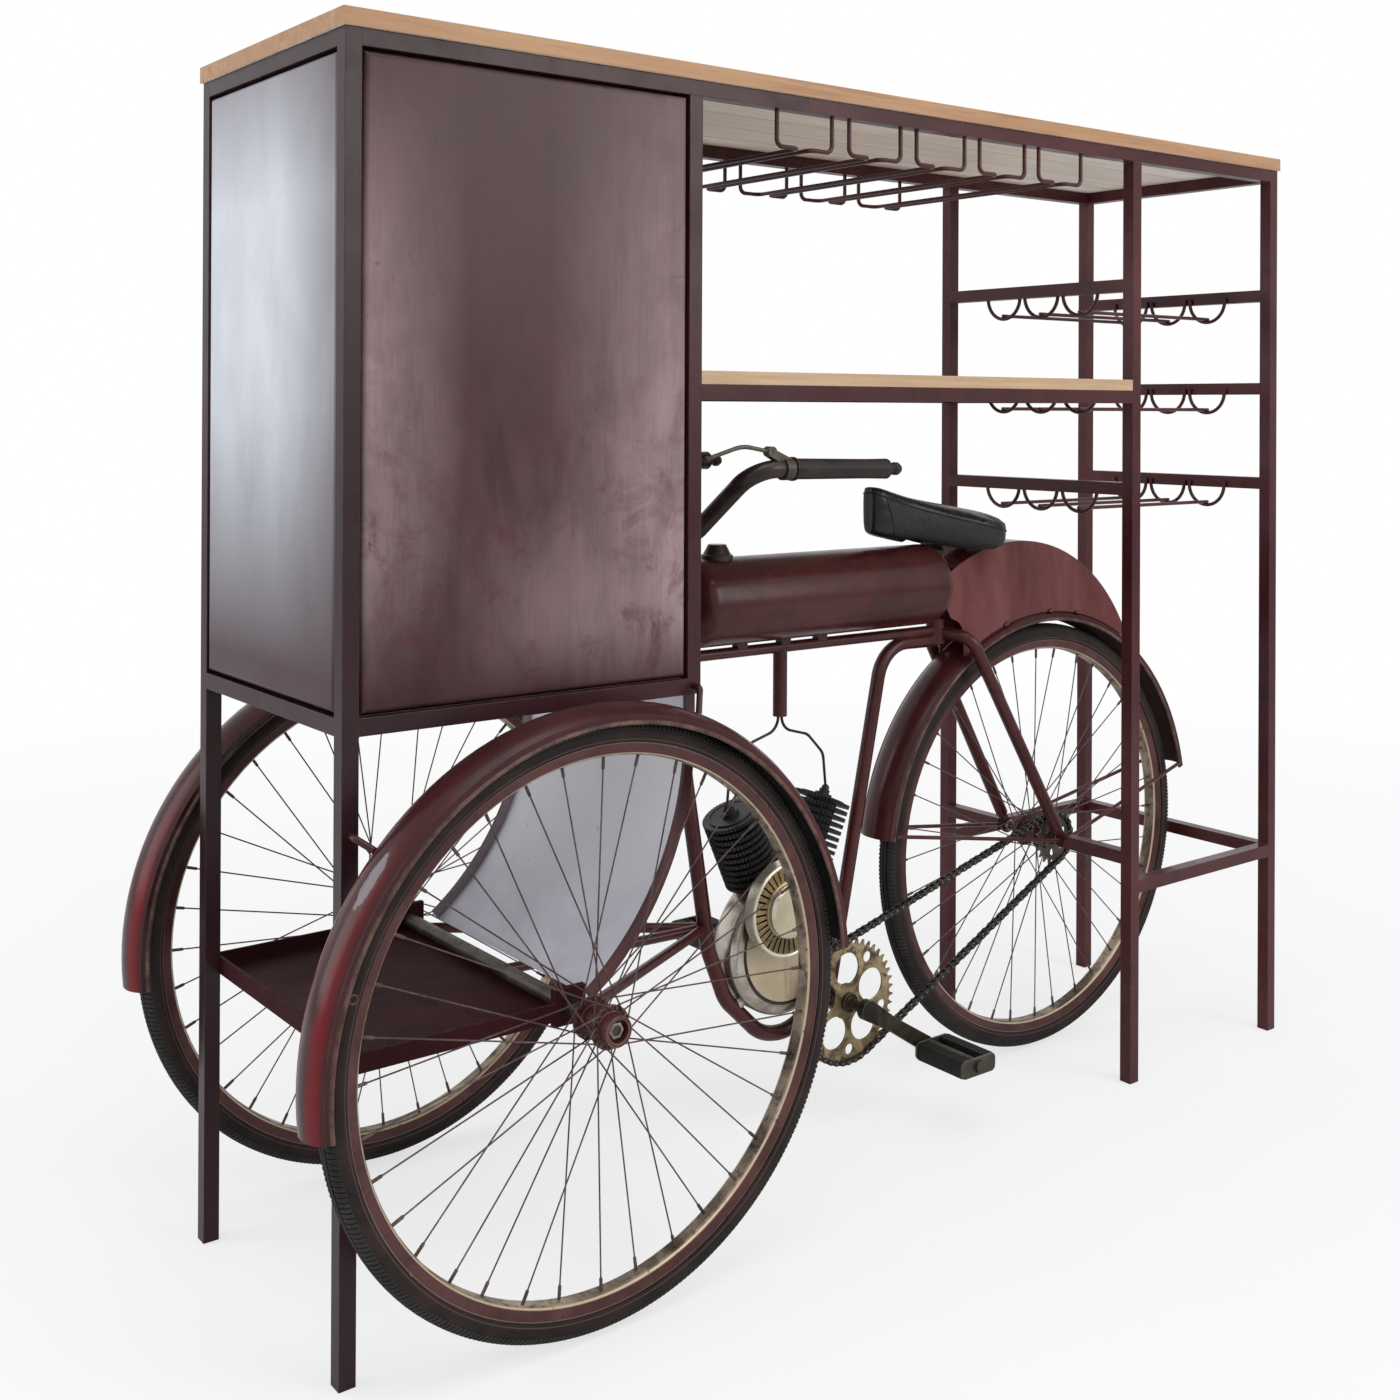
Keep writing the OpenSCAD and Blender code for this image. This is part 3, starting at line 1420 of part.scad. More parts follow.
module lever() color(steel)
    difference() {
        union() {
            far_way([lever_x, -bar_half - lever_t / 2, lever_z]) cylinder(h = lever_t, r = ear_r, $fn = 48);
            bent_rod(blade_pts, blade_r, blade_bend);
            translate(blade_pts[2]) sphere(r = blade_end_r, $fn = 48);
        }
        far_way([lever_x, -bar_half - lever_t, lever_z])
            cylinder(h = 2 * lever_t, r = pivot_r + fit, $fn = 48);
    }

module near_lever() placed() lever();
module far_lever() placed() mirror([0, 1, 0]) lever();

// Assembly
posts();
top_rails();
cabinet_rails();
rack_rails();
bottle_cradles();
glass_rack();
table_top();
shelf_board();
cabinet_panels();
cabinet_floor();
panel_stops();
cabinet_door();
hinge_posts();
hinge_leaves();
door_knob();
tray_plate();
tray_rails();
scoop();
axles();
axle_nuts();
axle_stays();
front_guards();
rear_guard();
guard_stays();
near_tyre();
near_rim();
near_spokes();
near_hub();
far_tyre();
far_rim();
far_spokes();
far_hub();
rear_tyre();
rear_rim();
rear_spokes();
rear_hub();
rear_sprocket();
bike_frame();
tank();
tank_cap();
rear_cowl();
plug_wires();
crankcase();
round_cover();
cylinders();
saddle();
seat_post();
stem();
handlebar();
grips();
lever_brackets();
near_lever();
far_lever();
cranks();
chainring();
near_pedal();
far_pedal();
near_treads();
far_treads();
chain();
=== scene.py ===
import math
import random
import bmesh
import bpy
from mathutils import Matrix, Vector
from mathutils.bvhtree import BVHTree


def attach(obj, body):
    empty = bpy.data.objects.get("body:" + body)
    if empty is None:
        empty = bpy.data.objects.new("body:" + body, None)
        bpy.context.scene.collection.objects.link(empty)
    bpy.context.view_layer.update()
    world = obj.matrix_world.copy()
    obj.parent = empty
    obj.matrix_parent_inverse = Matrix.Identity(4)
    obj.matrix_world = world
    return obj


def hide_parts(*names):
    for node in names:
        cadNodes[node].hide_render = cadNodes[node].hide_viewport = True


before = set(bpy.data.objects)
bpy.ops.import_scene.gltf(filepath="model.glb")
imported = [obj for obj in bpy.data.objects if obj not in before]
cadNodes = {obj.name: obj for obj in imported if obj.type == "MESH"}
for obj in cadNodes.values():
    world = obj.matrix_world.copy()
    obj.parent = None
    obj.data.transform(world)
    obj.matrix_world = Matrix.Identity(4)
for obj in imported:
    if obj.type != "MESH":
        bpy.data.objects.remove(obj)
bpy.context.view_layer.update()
scene = bpy.context.scene
scene.view_settings.view_transform = "Standard"
print("cart frame loaded,", len(cadNodes), "nodes")

cartMiddle = 831.75  # the row frame's x origin, in the cart's own millimetres


def at(x, y, z):
    return Vector(((x - cartMiddle) / 1000, y / 1000, z / 1000))


# the photo's viewpoint: left of the cabinet, a little above the handlebar
cameraSet = dict(
    place=(-1.60175, -1.8437, 1.0631), yaw=52.528, pitch=0.127, roll=0.253, lens=42.154, shiftY=-0.2114)


def setCamera(s):
    yaw, pitch, roll = (math.radians(s[k]) for k in ("yaw", "pitch", "roll"))
    ahead = Vector((math.cos(pitch) * math.cos(yaw), math.cos(pitch) * math.sin(yaw), math.sin(pitch)))
    right = Vector((math.sin(yaw), -math.cos(yaw), 0))
    up = right.cross(ahead)
    sideways = math.cos(roll) * right + math.sin(roll) * up
    upwards = math.cos(roll) * up - math.sin(roll) * right
    data = bpy.data.cameras.new("cartCamera")
    data.sensor_width = 36
    data.lens = s["lens"]
    data.shift_y = s["shiftY"]
    data.clip_end = 120
    camera = bpy.data.objects.new("cartCamera", data)
    scene.collection.objects.link(camera)
    turned = Matrix((sideways, upwards, -ahead)).transposed()
    camera.matrix_world = Matrix.Translation(s["place"]) @ turned.to_4x4()
    scene.camera = camera


setCamera(cameraSet)


# small node shorthands: each takes sockets or plain values and gives back a socket
def isSocket(value):
    return isinstance(value, bpy.types.NodeSocket)


def fill(node, sockets):
    for key, value in sockets.items():
        if isSocket(value):
            node.id_data.links.new(value, node.inputs[key])
        else:
            node.inputs[key].default_value = value


def put(tree, kind, output, sockets=None, **options):
    node = tree.nodes.new("ShaderNode" + kind)
    for key, value in options.items():
        setattr(node, key, value)
    fill(node, sockets or {})
    return node.outputs[output]


def startFinish(name):
    finish = bpy.data.materials.new(name)
    finish.use_nodes = True
    tree = finish.node_tree
    return finish, tree.nodes["Principled BSDF"], put(tree, "TexCoord", "Object")


def stretched(where, scale, turn=(0, 0, 0)):
    return put(where.id_data, "Mapping", "Vector", {"Vector": where, "Scale": scale, "Rotation": turn})


def cloud(where, scale, detail=5.0, rough=0.55, warp=0.0):
    return put(where.id_data, "TexNoise", "Fac",
               {"Vector": where, "Scale": scale, "Detail": detail, "Roughness": rough, "Distortion": warp})


def band(value, low, high, start=0.0, end=1.0):
    return put(value.id_data, "MapRange", "Result",
               {"Value": value, "From Min": low, "From Max": high, "To Min": start, "To Max": end}, clamp=True)


def work(how, *values):
    total = values[0]
    for value in values[1:] or (0.0,):
        tree = (total if isSocket(total) else value).id_data
        total = put(tree, "Math", 0, {0: total, 1: value}, operation=how)
    return total


def plus(*values):
    return work("ADD", *values)


def minus(a, b):
    return work("SUBTRACT", a, b)


def times(*values):
    return work("MULTIPLY", *values)


def rgb(colour):
    return (*colour, 1.0)


def tint(amount, under, over):
    sides = [side if isSocket(side) else rgb(side) for side in (under, over)]
    return put(amount.id_data, "Mix", 2, {0: amount, 6: sides[0], 7: sides[1]}, data_type="RGBA")


def layered(colour, s, **amounts):  # lays the named tones of a settings dictionary over a colour, in turn
    for tone, amount in amounts.items():
        colour = tint(amount, colour, s[tone])
    return colour


def relief(height, strength, depth, normal=None):
    sockets = {"Height": height, "Strength": strength, "Distance": depth}
    if normal is not None:
        sockets["Normal"] = normal
    return put(height.id_data, "Bump", "Normal", sockets)


edgeFacing = (0.985, 0.86)  # cosines between the rounded and the flat normal where wear starts and is full


def softEdges(where, radius):
    tree = where.id_data
    soft = put(tree, "Bevel", "Normal", {"Radius": radius}, samples=4)
    flat = put(tree, "NewGeometry", "Normal")
    facing = put(tree, "VectorMath", "Value", {0: soft, 1: flat}, operation="DOT_PRODUCT")
    return soft, band(facing, *edgeFacing)


def spotOf(where):
    node = put(where.id_data, "SeparateXYZ", "X", {"Vector": where}).node
    return [node.outputs[axis] for axis in "XYZ"]


def wheelPlace(where, middle):
    moved = put(where.id_data, "VectorMath", "Vector", {0: where, 1: tuple(middle)}, operation="SUBTRACT")
    x, y, z = spotOf(moved)
    return work("SQRT", plus(times(x, x), times(z, z))), work("ABSOLUTE", y)


# oxblood paint on tube, sheet and wire
tubeSet = dict(
    deep=(0.046, 0.0068, 0.0085), faded=(0.086, 0.02, 0.0225), dull=(0.02, 0.0085, 0.011), dullMost=0.85,
    stain=(0.016, 0.006, 0.006), dust=(0.16, 0.09, 0.09), chip=(0.02, 0.011, 0.01), worn=(0.19, 0.1, 0.095),
    stretch=(1, 1, 1), cloudScale=3.6, stainScale=15, stainMost=0.6, chipScale=70, chipFrom=0.71, edge=0.0016,
    wornMost=0.6, rough=(0.22, 0.4), specular=0.24, coat=0.0, bump=0.25, cloudRamp=(0.38, 0.66),
    dullReach=(-0.75, 0.35), stainRamp=(0.52, 0.74), speckScale=260, speckRamp=(0.62, 0.74), dustMost=0.16,
    chipStep=0.02, rubScale=34, rubRamp=(0.42, 0.62), grainScale=900, shineRamp=(0.3, 0.75), coatRough=0.22,
    depth=0.0006)


def paintFinish(name, **changes):
    s = dict(tubeSet, **changes)
    finish, shader, where = startFinish(name)
    along = spotOf(where)[0]
    wide = cloud(stretched(where, s["stretch"]), s["cloudScale"], 6, 0.6, 0.4)
    stain = cloud(where, s["stainScale"], 8, 0.65, 0.8)
    speck = cloud(where, s["speckScale"], 3, 0.6)
    chips = band(cloud(where, s["chipScale"], 7, 0.7, 0.3), s["chipFrom"], s["chipFrom"] + s["chipStep"])
    rubbed = band(cloud(where, s["rubScale"], 6, 0.7), *s["rubRamp"], 0, s["wornMost"])
    soft, edge = softEdges(where, s["edge"])
    colour = layered(
        tint(band(wide, *s["cloudRamp"]), s["deep"], s["faded"]), s,
        dull=band(along, *s["dullReach"], s["dullMost"], 0.0),  # blacker at the cabinet
        stain=band(stain, *s["stainRamp"], 0, s["stainMost"]), dust=band(speck, *s["speckRamp"], 0, s["dustMost"]),
        chip=chips, worn=times(edge, rubbed))
    grain = minus(times(cloud(where, s["grainScale"], 2), 0.25), chips)
    fill(shader, {
        "Base Color": colour, "Roughness": plus(band(stain, *s["shineRamp"], *s["rough"]), times(chips, 0.25)),
        "Specular IOR Level": s["specular"], "Coat Weight": s["coat"], "Coat Roughness": s["coatRough"],
        "Normal": relief(grain, s["bump"], s["depth"], soft)})
    return finish


tubePaint = paintFinish("oxbloodTube")
wirePaint = paintFinish(
    "oxbloodWire", deep=(0.048, 0.009, 0.011), faded=(0.082, 0.02, 0.022), edge=0.0006, specular=0.28)
trayPaint = paintFinish(
    "oxbloodTray", deep=(0.026, 0.0042, 0.0055), faded=(0.048, 0.009, 0.011), dullMost=0.3, rough=(0.5, 0.66),
    specular=0.05, cloudScale=7)
bikePaint = paintFinish(
    "oxbloodBike", deep=(0.043, 0.0062, 0.0065), faded=(0.084, 0.0175, 0.0175), dull=(0.05, 0.011, 0.012),
    dullMost=0.5, cloudScale=6, stainScale=18, chipScale=90, chipFrom=0.7, edge=0.0012, rough=(0.18, 0.36),
    coat=0.05, worn=(0.2, 0.1, 0.08))
cowlPaint = paintFinish(
    "oxbloodCowl", deep=(0.092, 0.0165, 0.0165), faded=(0.185, 0.06, 0.057), dullMost=0.0, stretch=(2.6, 1, 0.8),
    cloudScale=4.5, stainScale=9, stainMost=0.35, stain=(0.05, 0.012, 0.012), chipScale=60, chipFrom=0.73,
    rough=(0.2, 0.36), specular=0.26, coat=0.05)
weldPaint = paintFinish(
    "paintedWeld", deep=(0.05, 0.014, 0.014), faded=(0.085, 0.03, 0.028), dullMost=0.4, edge=0.0008,
    rough=(0.32, 0.52), specular=0.4, bump=0.5)
hubPaint = paintFinish(
    "oxbloodHub", deep=(0.05, 0.0095, 0.009), faded=(0.09, 0.029, 0.025), dullMost=0.0, stain=(0.03, 0.012, 0.009),
    chip=(0.05, 0.024, 0.013), worn=(0.46, 0.33, 0.24), cloudScale=30, stainScale=60, chipScale=160, chipFrom=0.64,
    wornMost=0.95, bump=0.4)


# pressed panels: dark middle, a lilac satin sheen painted up both sides as the lamps' reflection, and a pale satin end
# panel, its paleness a painted reflection
def panelFinish(name, s):
    finish, shader, where = startFinish(name)
    x, y, z = spotOf(where)
    mottle = cloud(stretched(where, s["mottleStretch"]), 2.2, 7, 0.62, 0.4)
    brush = cloud(stretched(where, s["brushStretch"]), 2.0, 4, 0.6)
    blotch = cloud(where, s["blotchScale"], 8, 0.7, 0.9)
    spots = cloud(where, s["spotScale"], 8, 0.7, 0.6)
    # painted sheen: lighter lilac patches up the near panel's sides stand in for the lamps' reflections
    sheenPatches = [times(band(x, *side), band(z, *top), band(z, *foot), share) for side, top, foot, share in s["sheenPatches"]]
    paintedSheen = times(work("MAXIMUM", *sheenPatches), band(mottle, 0.32, 0.6, 0.55, 1.0), band(brush, 0.3, 0.7, 0.8, 1.0))
    colour = layered(
        tint(band(mottle, 0.36, 0.66), s["deep"], s["brown"]), s, lilac=paintedSheen,
        red=times(band(blotch, 0.5, 0.68), band(z, *s["redReach"])), stain=band(spots, 0.64, 0.72, 0, 0.6))
    end = band(x, *s["endFrom"])
    # painted reflection: the end panel turns pale and bluish where a lamp would reflect in it
    paintedReflection = times(*(band(axis, *fade) for axis, fade in zip((z, z, y), s["paintedReflection"])), band(mottle, 0.28, 0.6, 0.82, 1.0))
    colour = tint(end, colour, tint(paintedReflection, s["endDark"], s["endReflection"]))
    soft, edge = softEdges(where, s["edge"])
    height = plus(times(cloud(where, s["dentScale"], 3, 0.5), 5.0), times(brush, 0.1))
    fill(shader, {
        "Base Color": tint(times(edge, s["edgeMost"]), colour, s["worn"]),
        "Metallic": plus(times(paintedSheen, s["sheenMetal"]), times(end, paintedReflection, s["endMetal"])),
        "Roughness": band(mottle, 0.3, 0.7, *s["rough"]), "Specular IOR Level": 0.22,
        "Normal": relief(height, 0.3, 0.0006, soft)})
    return finish


# patches of painted sheen on the near panel: its fades sideways, at the top and at the foot, then its share
# painted reflection on the end panel: its fades at the foot, at the top and towards the near side
panelPaint = panelFinish("oxbloodPanel", dict(
    deep=(0.036, 0.0125, 0.0155), brown=(0.068, 0.028, 0.0325), lilac=(0.33, 0.235, 0.245), red=(0.085, 0.02, 0.023),
    stain=(0.022, 0.009, 0.01), endDark=(0.06, 0.03, 0.036), endReflection=(0.62, 0.645, 0.7), worn=(0.24, 0.18, 0.18),
    rough=(0.27, 0.42), edge=0.0025, edgeMost=0.3, mottleStretch=(6, 6, 2.4), brushStretch=(150, 150, 7),
    blotchScale=13, spotScale=42, dentScale=5, redReach=(1.15, 0.85, 0.15, 0.8), endFrom=(-0.812, -0.818),
    sheenMetal=0.12, endMetal=0.25,
    sheenPatches=(((-0.68, -0.8), (1.45, 1.15), (0.74, 0.9), 0.85),
             ((-0.57, -0.4), (1.46, 1.02, 0.25, 1.0), (0.72, 0.8), 1.0),
             ((-0.72, -0.5), (1.04, 0.84), (0.72, 0.8), 0.7)),
    paintedReflection=((0.76, 1.06), (1.48, 1.3, 0.3, 1.0), (-0.2, -0.03, 0.3, 1.0))))


# scoop: pale lavender sheet between two painted edge bars, with painted shade making it darker lower down, under the
# cabinet
def scoopFinish(name, s):
    finish, shader, where = startFinish(name)
    y, z = spotOf(where)[1:]
    wide = cloud(stretched(where, (3, 3, 1.4)), 3.0, 6, 0.6, 0.5)
    spots = cloud(where, 60, 7, 0.7)
    # painted shade: the sheet darkens from its high tone to its low tone towards the bottom, under the cabinet
    pale = layered(tint(band(z, *s["lift"]), s["low"], s["high"]), s,
                   cloud=band(wide, 0.4, 0.66, 0, 0.5), spot=band(spots, 0.66, 0.72, 0, 0.7))
    bar = tint(band(wide, 0.4, 0.65), *s["bar"])
    fill(shader, {
        "Base Color": tint(band(work("ABSOLUTE", y), *s["sheetEdge"]), bar, pale),
        "Roughness": band(wide, 0.3, 0.7, 0.34, 0.5), "Specular IOR Level": 0.35,
        "Normal": relief(plus(times(wide, 3.0), spots), 0.2, 0.0005)})
    return finish


scoopPaint = scoopFinish("lavenderScoop", dict(
    low=(0.56, 0.535, 0.6), high=(0.94, 0.935, 0.975), cloud=(0.84, 0.825, 0.89), spot=(0.12, 0.08, 0.09),
    bar=((0.05, 0.012, 0.014), (0.095, 0.028, 0.03)), lift=(0.38, 0.62), sheetEdge=(0.1902, 0.1896)))
print("paint finishes made")


# guards: dark inside, worn rolled edge, and a painted red highlight along the shoulders, low at the cabinet end
def guardFinish(name, s):
    finish = paintFinish(name, **s["paint"])
    shader = finish.node_tree.nodes["Principled BSDF"]
    painted, shine = (shader.inputs[key].links[0].from_socket for key in ("Base Color", "Roughness"))
    where = put(finish.node_tree, "TexCoord", "Object")
    x, y, z = spotOf(where)
    mirrored = put(where.id_data, "CombineXYZ", "Vector", {"X": x, "Y": work("ABSOLUTE", y), "Z": z})
    radius, across = wheelPlace(mirrored, s["middle"])
    under = minus(s["outer"] - s["skin"], times(across, across, s["crown"]))
    inside = times(band(minus(under, radius), 0.0, 0.0003), band(across, *s["skirt"]))
    rolled = band(radius, *(s["outer"] - drop for drop in s["rolled"]))
    # painted highlight: a saturated red streak on both shoulders, low at the cabinet end
    low = times(band(z, *s["highlightHeight"]), band(x, *s["redReach"]))
    low = times(low, *(band(across, *fade) for fade in s["highlightShoulder"]))
    low = times(low, band(cloud(where, 20, 6, 0.65), 0.35, 0.6, 0.6, 1.0))
    # one long oval of bare primer on the near guard
    turned = work("ARCTAN2", minus(z, s["middle"][2]), minus(x, s["middle"][0]))
    turn = work("DIVIDE", minus(turned, s["oval"]), s["ovalTurn"])
    wide = work("DIVIDE", minus(across, s["ovalSide"]), s["ovalHalf"])
    far = plus(times(turn, turn), times(wide, wide), times(cloud(where, 75, 6, 0.7), 1.8))
    colour = layered(painted, s, bright=low, primer=times(band(far, 1.75, 1.62), band(y, *s["nearHalf"])))
    colour = tint(rolled, colour, tint(band(cloud(where, 26, 6, 0.7), 0.4, 0.6), *s["edge"]))
    fill(shader, {"Base Color": tint(inside, colour, s["under"]), "Roughness": plus(shine, times(inside, 0.5))})
    return finish


guardPaint = dict(
    deep=(0.03, 0.0048, 0.0055), faded=(0.07, 0.0165, 0.0175), dull=(0.04, 0.011, 0.013), dullMost=0.4, cloudScale=6,
    stainScale=13, chipScale=60, chipFrom=0.69, edge=0.001, rough=(0.16, 0.34), specular=0.2, coat=0.04, bump=0.3)
guardSet = dict(
    paint=guardPaint, bright=(0.16, 0.004, 0.0075), primer=(0.19, 0.155, 0.165), under=(0.007, 0.006, 0.006),
    edge=((0.045, 0.02, 0.016), (0.14, 0.075, 0.06)), skin=0.0007, crown=11.6, skirt=(0.0318, 0.0314),
    rolled=(0.0168, 0.0174), highlightHeight=(0.66, 0.42), redReach=(-0.74, -0.84),
    highlightShoulder=((0.005, 0.016), (0.031, 0.024)), oval=math.radians(144), ovalTurn=0.095, ovalSide=0.011,
    ovalHalf=0.0085, nearHalf=(-0.2735, -0.2745))
frontAxle, rearAxle, axleHeight, wheelSide = 294, 1354, 353, 272.5
wheelMiddles = {"near": at(frontAxle, -wheelSide, axleHeight), "far": at(frontAxle, wheelSide, axleHeight),
                "rear": at(rearAxle, 0, axleHeight)}


def onWheel(axle, reach, turn, side):  # a place beside a wheel, by its distance from the axle and its angle
    a = math.radians(turn)
    return at(axle + reach * math.cos(a), side, axleHeight + reach * math.sin(a))


steelSet = dict(
    base=(0.05, 0.043, 0.036), second=(0.11, 0.095, 0.078), rust=(0.045, 0.022, 0.012), worn=(0.36, 0.31, 0.25),
    cloudScale=18, spotScale=46, rustFrom=0.52, rustMost=0.75, edge=0.001, edgeMost=0.5, rough=(0.3, 0.48), metal=0.7,
    bump=0.3)


def metalFinish(name, **changes):
    s = dict(steelSet, **changes)
    finish, shader, where = startFinish(name)
    wide = cloud(where, s["cloudScale"], 6, 0.6, 0.5)
    spots = cloud(where, s["spotScale"], 8, 0.7, 0.6)
    rusty = band(spots, s["rustFrom"], s["rustFrom"] + 0.12, 0, s["rustMost"])
    soft, edge = softEdges(where, s["edge"])
    colour = tint(band(wide, 0.36, 0.64), s["base"], s["second"])
    grain = plus(times(cloud(where, 700, 3), 0.4), spots)
    fill(shader, {
        "Base Color": layered(colour, s, rust=rusty, worn=times(edge, s["edgeMost"])),
        "Roughness": plus(band(wide, 0.3, 0.7, *s["rough"]), times(rusty, 0.3)),
        "Metallic": minus(s["metal"], times(rusty, s["metal"] * 0.7)), "Specular IOR Level": 0.35,
        "Normal": relief(grain, s["bump"], 0.0005, soft)})
    return finish


oldSteel = metalFinish("oldSteel")
brightSteel = metalFinish("wornSteel", base=(0.2, 0.17, 0.14), second=(0.4, 0.35, 0.29))
spokeSteel = metalFinish(
    "spokeWire", base=(0.055, 0.034, 0.033), second=(0.13, 0.088, 0.085), rust=(0.05, 0.022, 0.018),
    worn=(0.2, 0.15, 0.14), cloudScale=22, spotScale=90, rustFrom=0.5, rustMost=0.7, edge=0.0005, edgeMost=0.2,
    metal=0.5, bump=0.2)
chainSteel = metalFinish(
    "oiledChain", base=(0.016, 0.014, 0.014), second=(0.045, 0.04, 0.038), rust=(0.025, 0.013, 0.009),
    worn=(0.2, 0.18, 0.165), cloudScale=60, spotScale=120, rustFrom=0.55, rustMost=0.6, edge=0.0006,
    rough=(0.24, 0.42), metal=0.75, bump=0.25)
pinSteel = metalFinish(
    "chainPins", base=(0.1, 0.09, 0.082), second=(0.24, 0.22, 0.2), cloudScale=80, edge=0.0004, rough=(0.22, 0.4))
ringBrass = metalFinish(
    "rustyRing", base=(0.16, 0.11, 0.057), second=(0.42, 0.33, 0.2), rust=(0.04, 0.02, 0.01), worn=(0.66, 0.56, 0.39),
    cloudScale=26, spotScale=60, rustFrom=0.49, rustMost=0.9, edgeMost=0.6, rough=(0.32, 0.52), bump=0.45)
crankOlive = metalFinish(
    "oliveCrank", base=(0.024, 0.02, 0.015), second=(0.075, 0.062, 0.042), rust=(0.02, 0.013, 0.009),
    worn=(0.42, 0.36, 0.25), cloudScale=20, spotScale=70)
darkBar = metalFinish(
    "darkBar", base=(0.018, 0.012, 0.011), second=(0.042, 0.026, 0.023), rust=(0.05, 0.027, 0.018),
    worn=(0.13, 0.09, 0.075), cloudScale=16, spotScale=50, rustFrom=0.58, rustMost=0.5, edge=0.0012, edgeMost=0.4,
    rough=(0.24, 0.4), metal=0.3, bump=0.25)
blackIron = metalFinish(
    "blackIron", base=(0.009, 0.009, 0.009), second=(0.022, 0.021, 0.02), rust=(0.03, 0.02, 0.014),
    worn=(0.11, 0.1, 0.095), cloudScale=20, spotScale=70, rustFrom=0.6, rustMost=0.4, edge=0.0007, rough=(0.28, 0.46),
    metal=0.3)


# engine case: polished outer band, dark groove, stained cream face
def caseFinish(name, s):
    finish, shader, where = startFinish(name)
    radius = wheelPlace(where, s["middle"])[0]
    streaks = cloud(stretched(where, (26, 26, 3.2)), 1.6, 6, 0.65, 0.3)
    wide = cloud(where, 9, 6, 0.6, 0.4)
    spots = cloud(where, 34, 8, 0.72, 0.8)
    face = tint(band(wide, 0.35, 0.65), s["cream"], s["tan"])
    face = tint(band(streaks, 0.54, 0.74, 0, 0.8), face, s["streak"])
    outer = band(radius, *s["outerFrom"])
    colour = tint(outer, face, tint(band(wide, 0.4, 0.6), s["nickel"], s["smoke"]))
    groove = times(*(band(radius, *fade) for fade in s["grooveAt"]))
    rusty = band(spots, 0.62, 0.7, 0, 0.85)
    soft, edge = softEdges(where, 0.0014)
    shine = minus(band(wide, 0.3, 0.7, 0.3, 0.46), times(outer, 0.12))
    grain = plus(times(cloud(where, 420, 3), 0.3), spots)
    fill(shader, {
        "Base Color": layered(colour, s, groove=groove, rust=rusty, worn=times(edge, 0.4)),
        "Roughness": plus(shine, times(rusty, 0.3)),
        "Metallic": band(outer, 0, 1, 0.25, 0.85), "Normal": relief(grain, 0.22, 0.0005, soft)})
    return finish


caseSpot = (790, 280)  # the engine case's centre, x and height
caseCream = caseFinish("agedNickelCase", dict(
    middle=at(caseSpot[0], 0, caseSpot[1]), outerFrom=(0.0845, 0.0852), grooveAt=((0.0795, 0.0801), (0.0855, 0.0849)),
    cream=(0.56, 0.47, 0.33), tan=(0.4, 0.32, 0.21), nickel=(0.6, 0.56, 0.49), smoke=(0.22, 0.18, 0.14),
    groove=(0.03, 0.02, 0.014), streak=(0.15, 0.1, 0.055), rust=(0.1, 0.04, 0.014), worn=(0.7, 0.63, 0.5)))


# louvred cover: pale cap and rings, brown slats, with painted shade darkening the sunken gaps between the slats
def coverFinish(name, s):
    finish, shader, where = startFinish(name)
    radius, across = wheelPlace(where, s["middle"])
    spots = cloud(where, 60, 8, 0.7, 0.6)
    wide = cloud(where, 16, 5, 0.6)
    cap = tint(band(wide, 0.35, 0.65), *s["cap"])
    slats = tint(band(wide, 0.4, 0.62), *s["slats"])
    onSlats = times(*(band(radius, *fade) for fade in s["slatsAt"]))
    # painted shade: the faces sunk between the slats are darkened nearly to black
    slots = times(onSlats, band(across, *(s["face"] - sunk for sunk in s["slotDepth"])))
    rings = work("MAXIMUM", band(radius, *s["rimFrom"]), times(*(band(radius, *fade) for fade in s["ringAt"])))
    rusty = band(spots, 0.6, 0.7, 0, 0.7)
    soft, edge = softEdges(where, 0.0007)
    colour = tint(onSlats, cap, slats)
    fill(shader, {
        "Base Color": layered(colour, s, slot=slots, ring=rings, rust=rusty, worn=times(edge, 0.5)), "Metallic": 0.75,
        "Roughness": plus(band(wide, 0.3, 0.7, 0.2, 0.36), times(rusty, 0.3)),
        "Normal": relief(spots, 0.2, 0.0005, soft)})
    return finish


coverReach, coverLean = 72.6, math.radians(24)  # from the case's centre, along the leaning cylinder
coverBrass = coverFinish("louvredBrass", dict(
    middle=at(caseSpot[0] - coverReach * math.sin(coverLean), 0, caseSpot[1] + coverReach * math.cos(coverLean)),
    face=0.062, slotDepth=(0.0006, 0.003), slatsAt=((0.0395, 0.0402), (0.0626, 0.062)), rimFrom=(0.0618, 0.0624),
    ringAt=((0.0345, 0.0352), (0.0398, 0.0392)), slot=(0.014, 0.009, 0.006),
    cap=((0.56, 0.49, 0.36), (0.4, 0.33, 0.22)), slats=((0.13, 0.085, 0.036), (0.27, 0.19, 0.085)),
    ring=(0.66, 0.6, 0.49), rust=(0.08, 0.036, 0.013), worn=(0.72, 0.62, 0.42)))
print("metal finishes made")


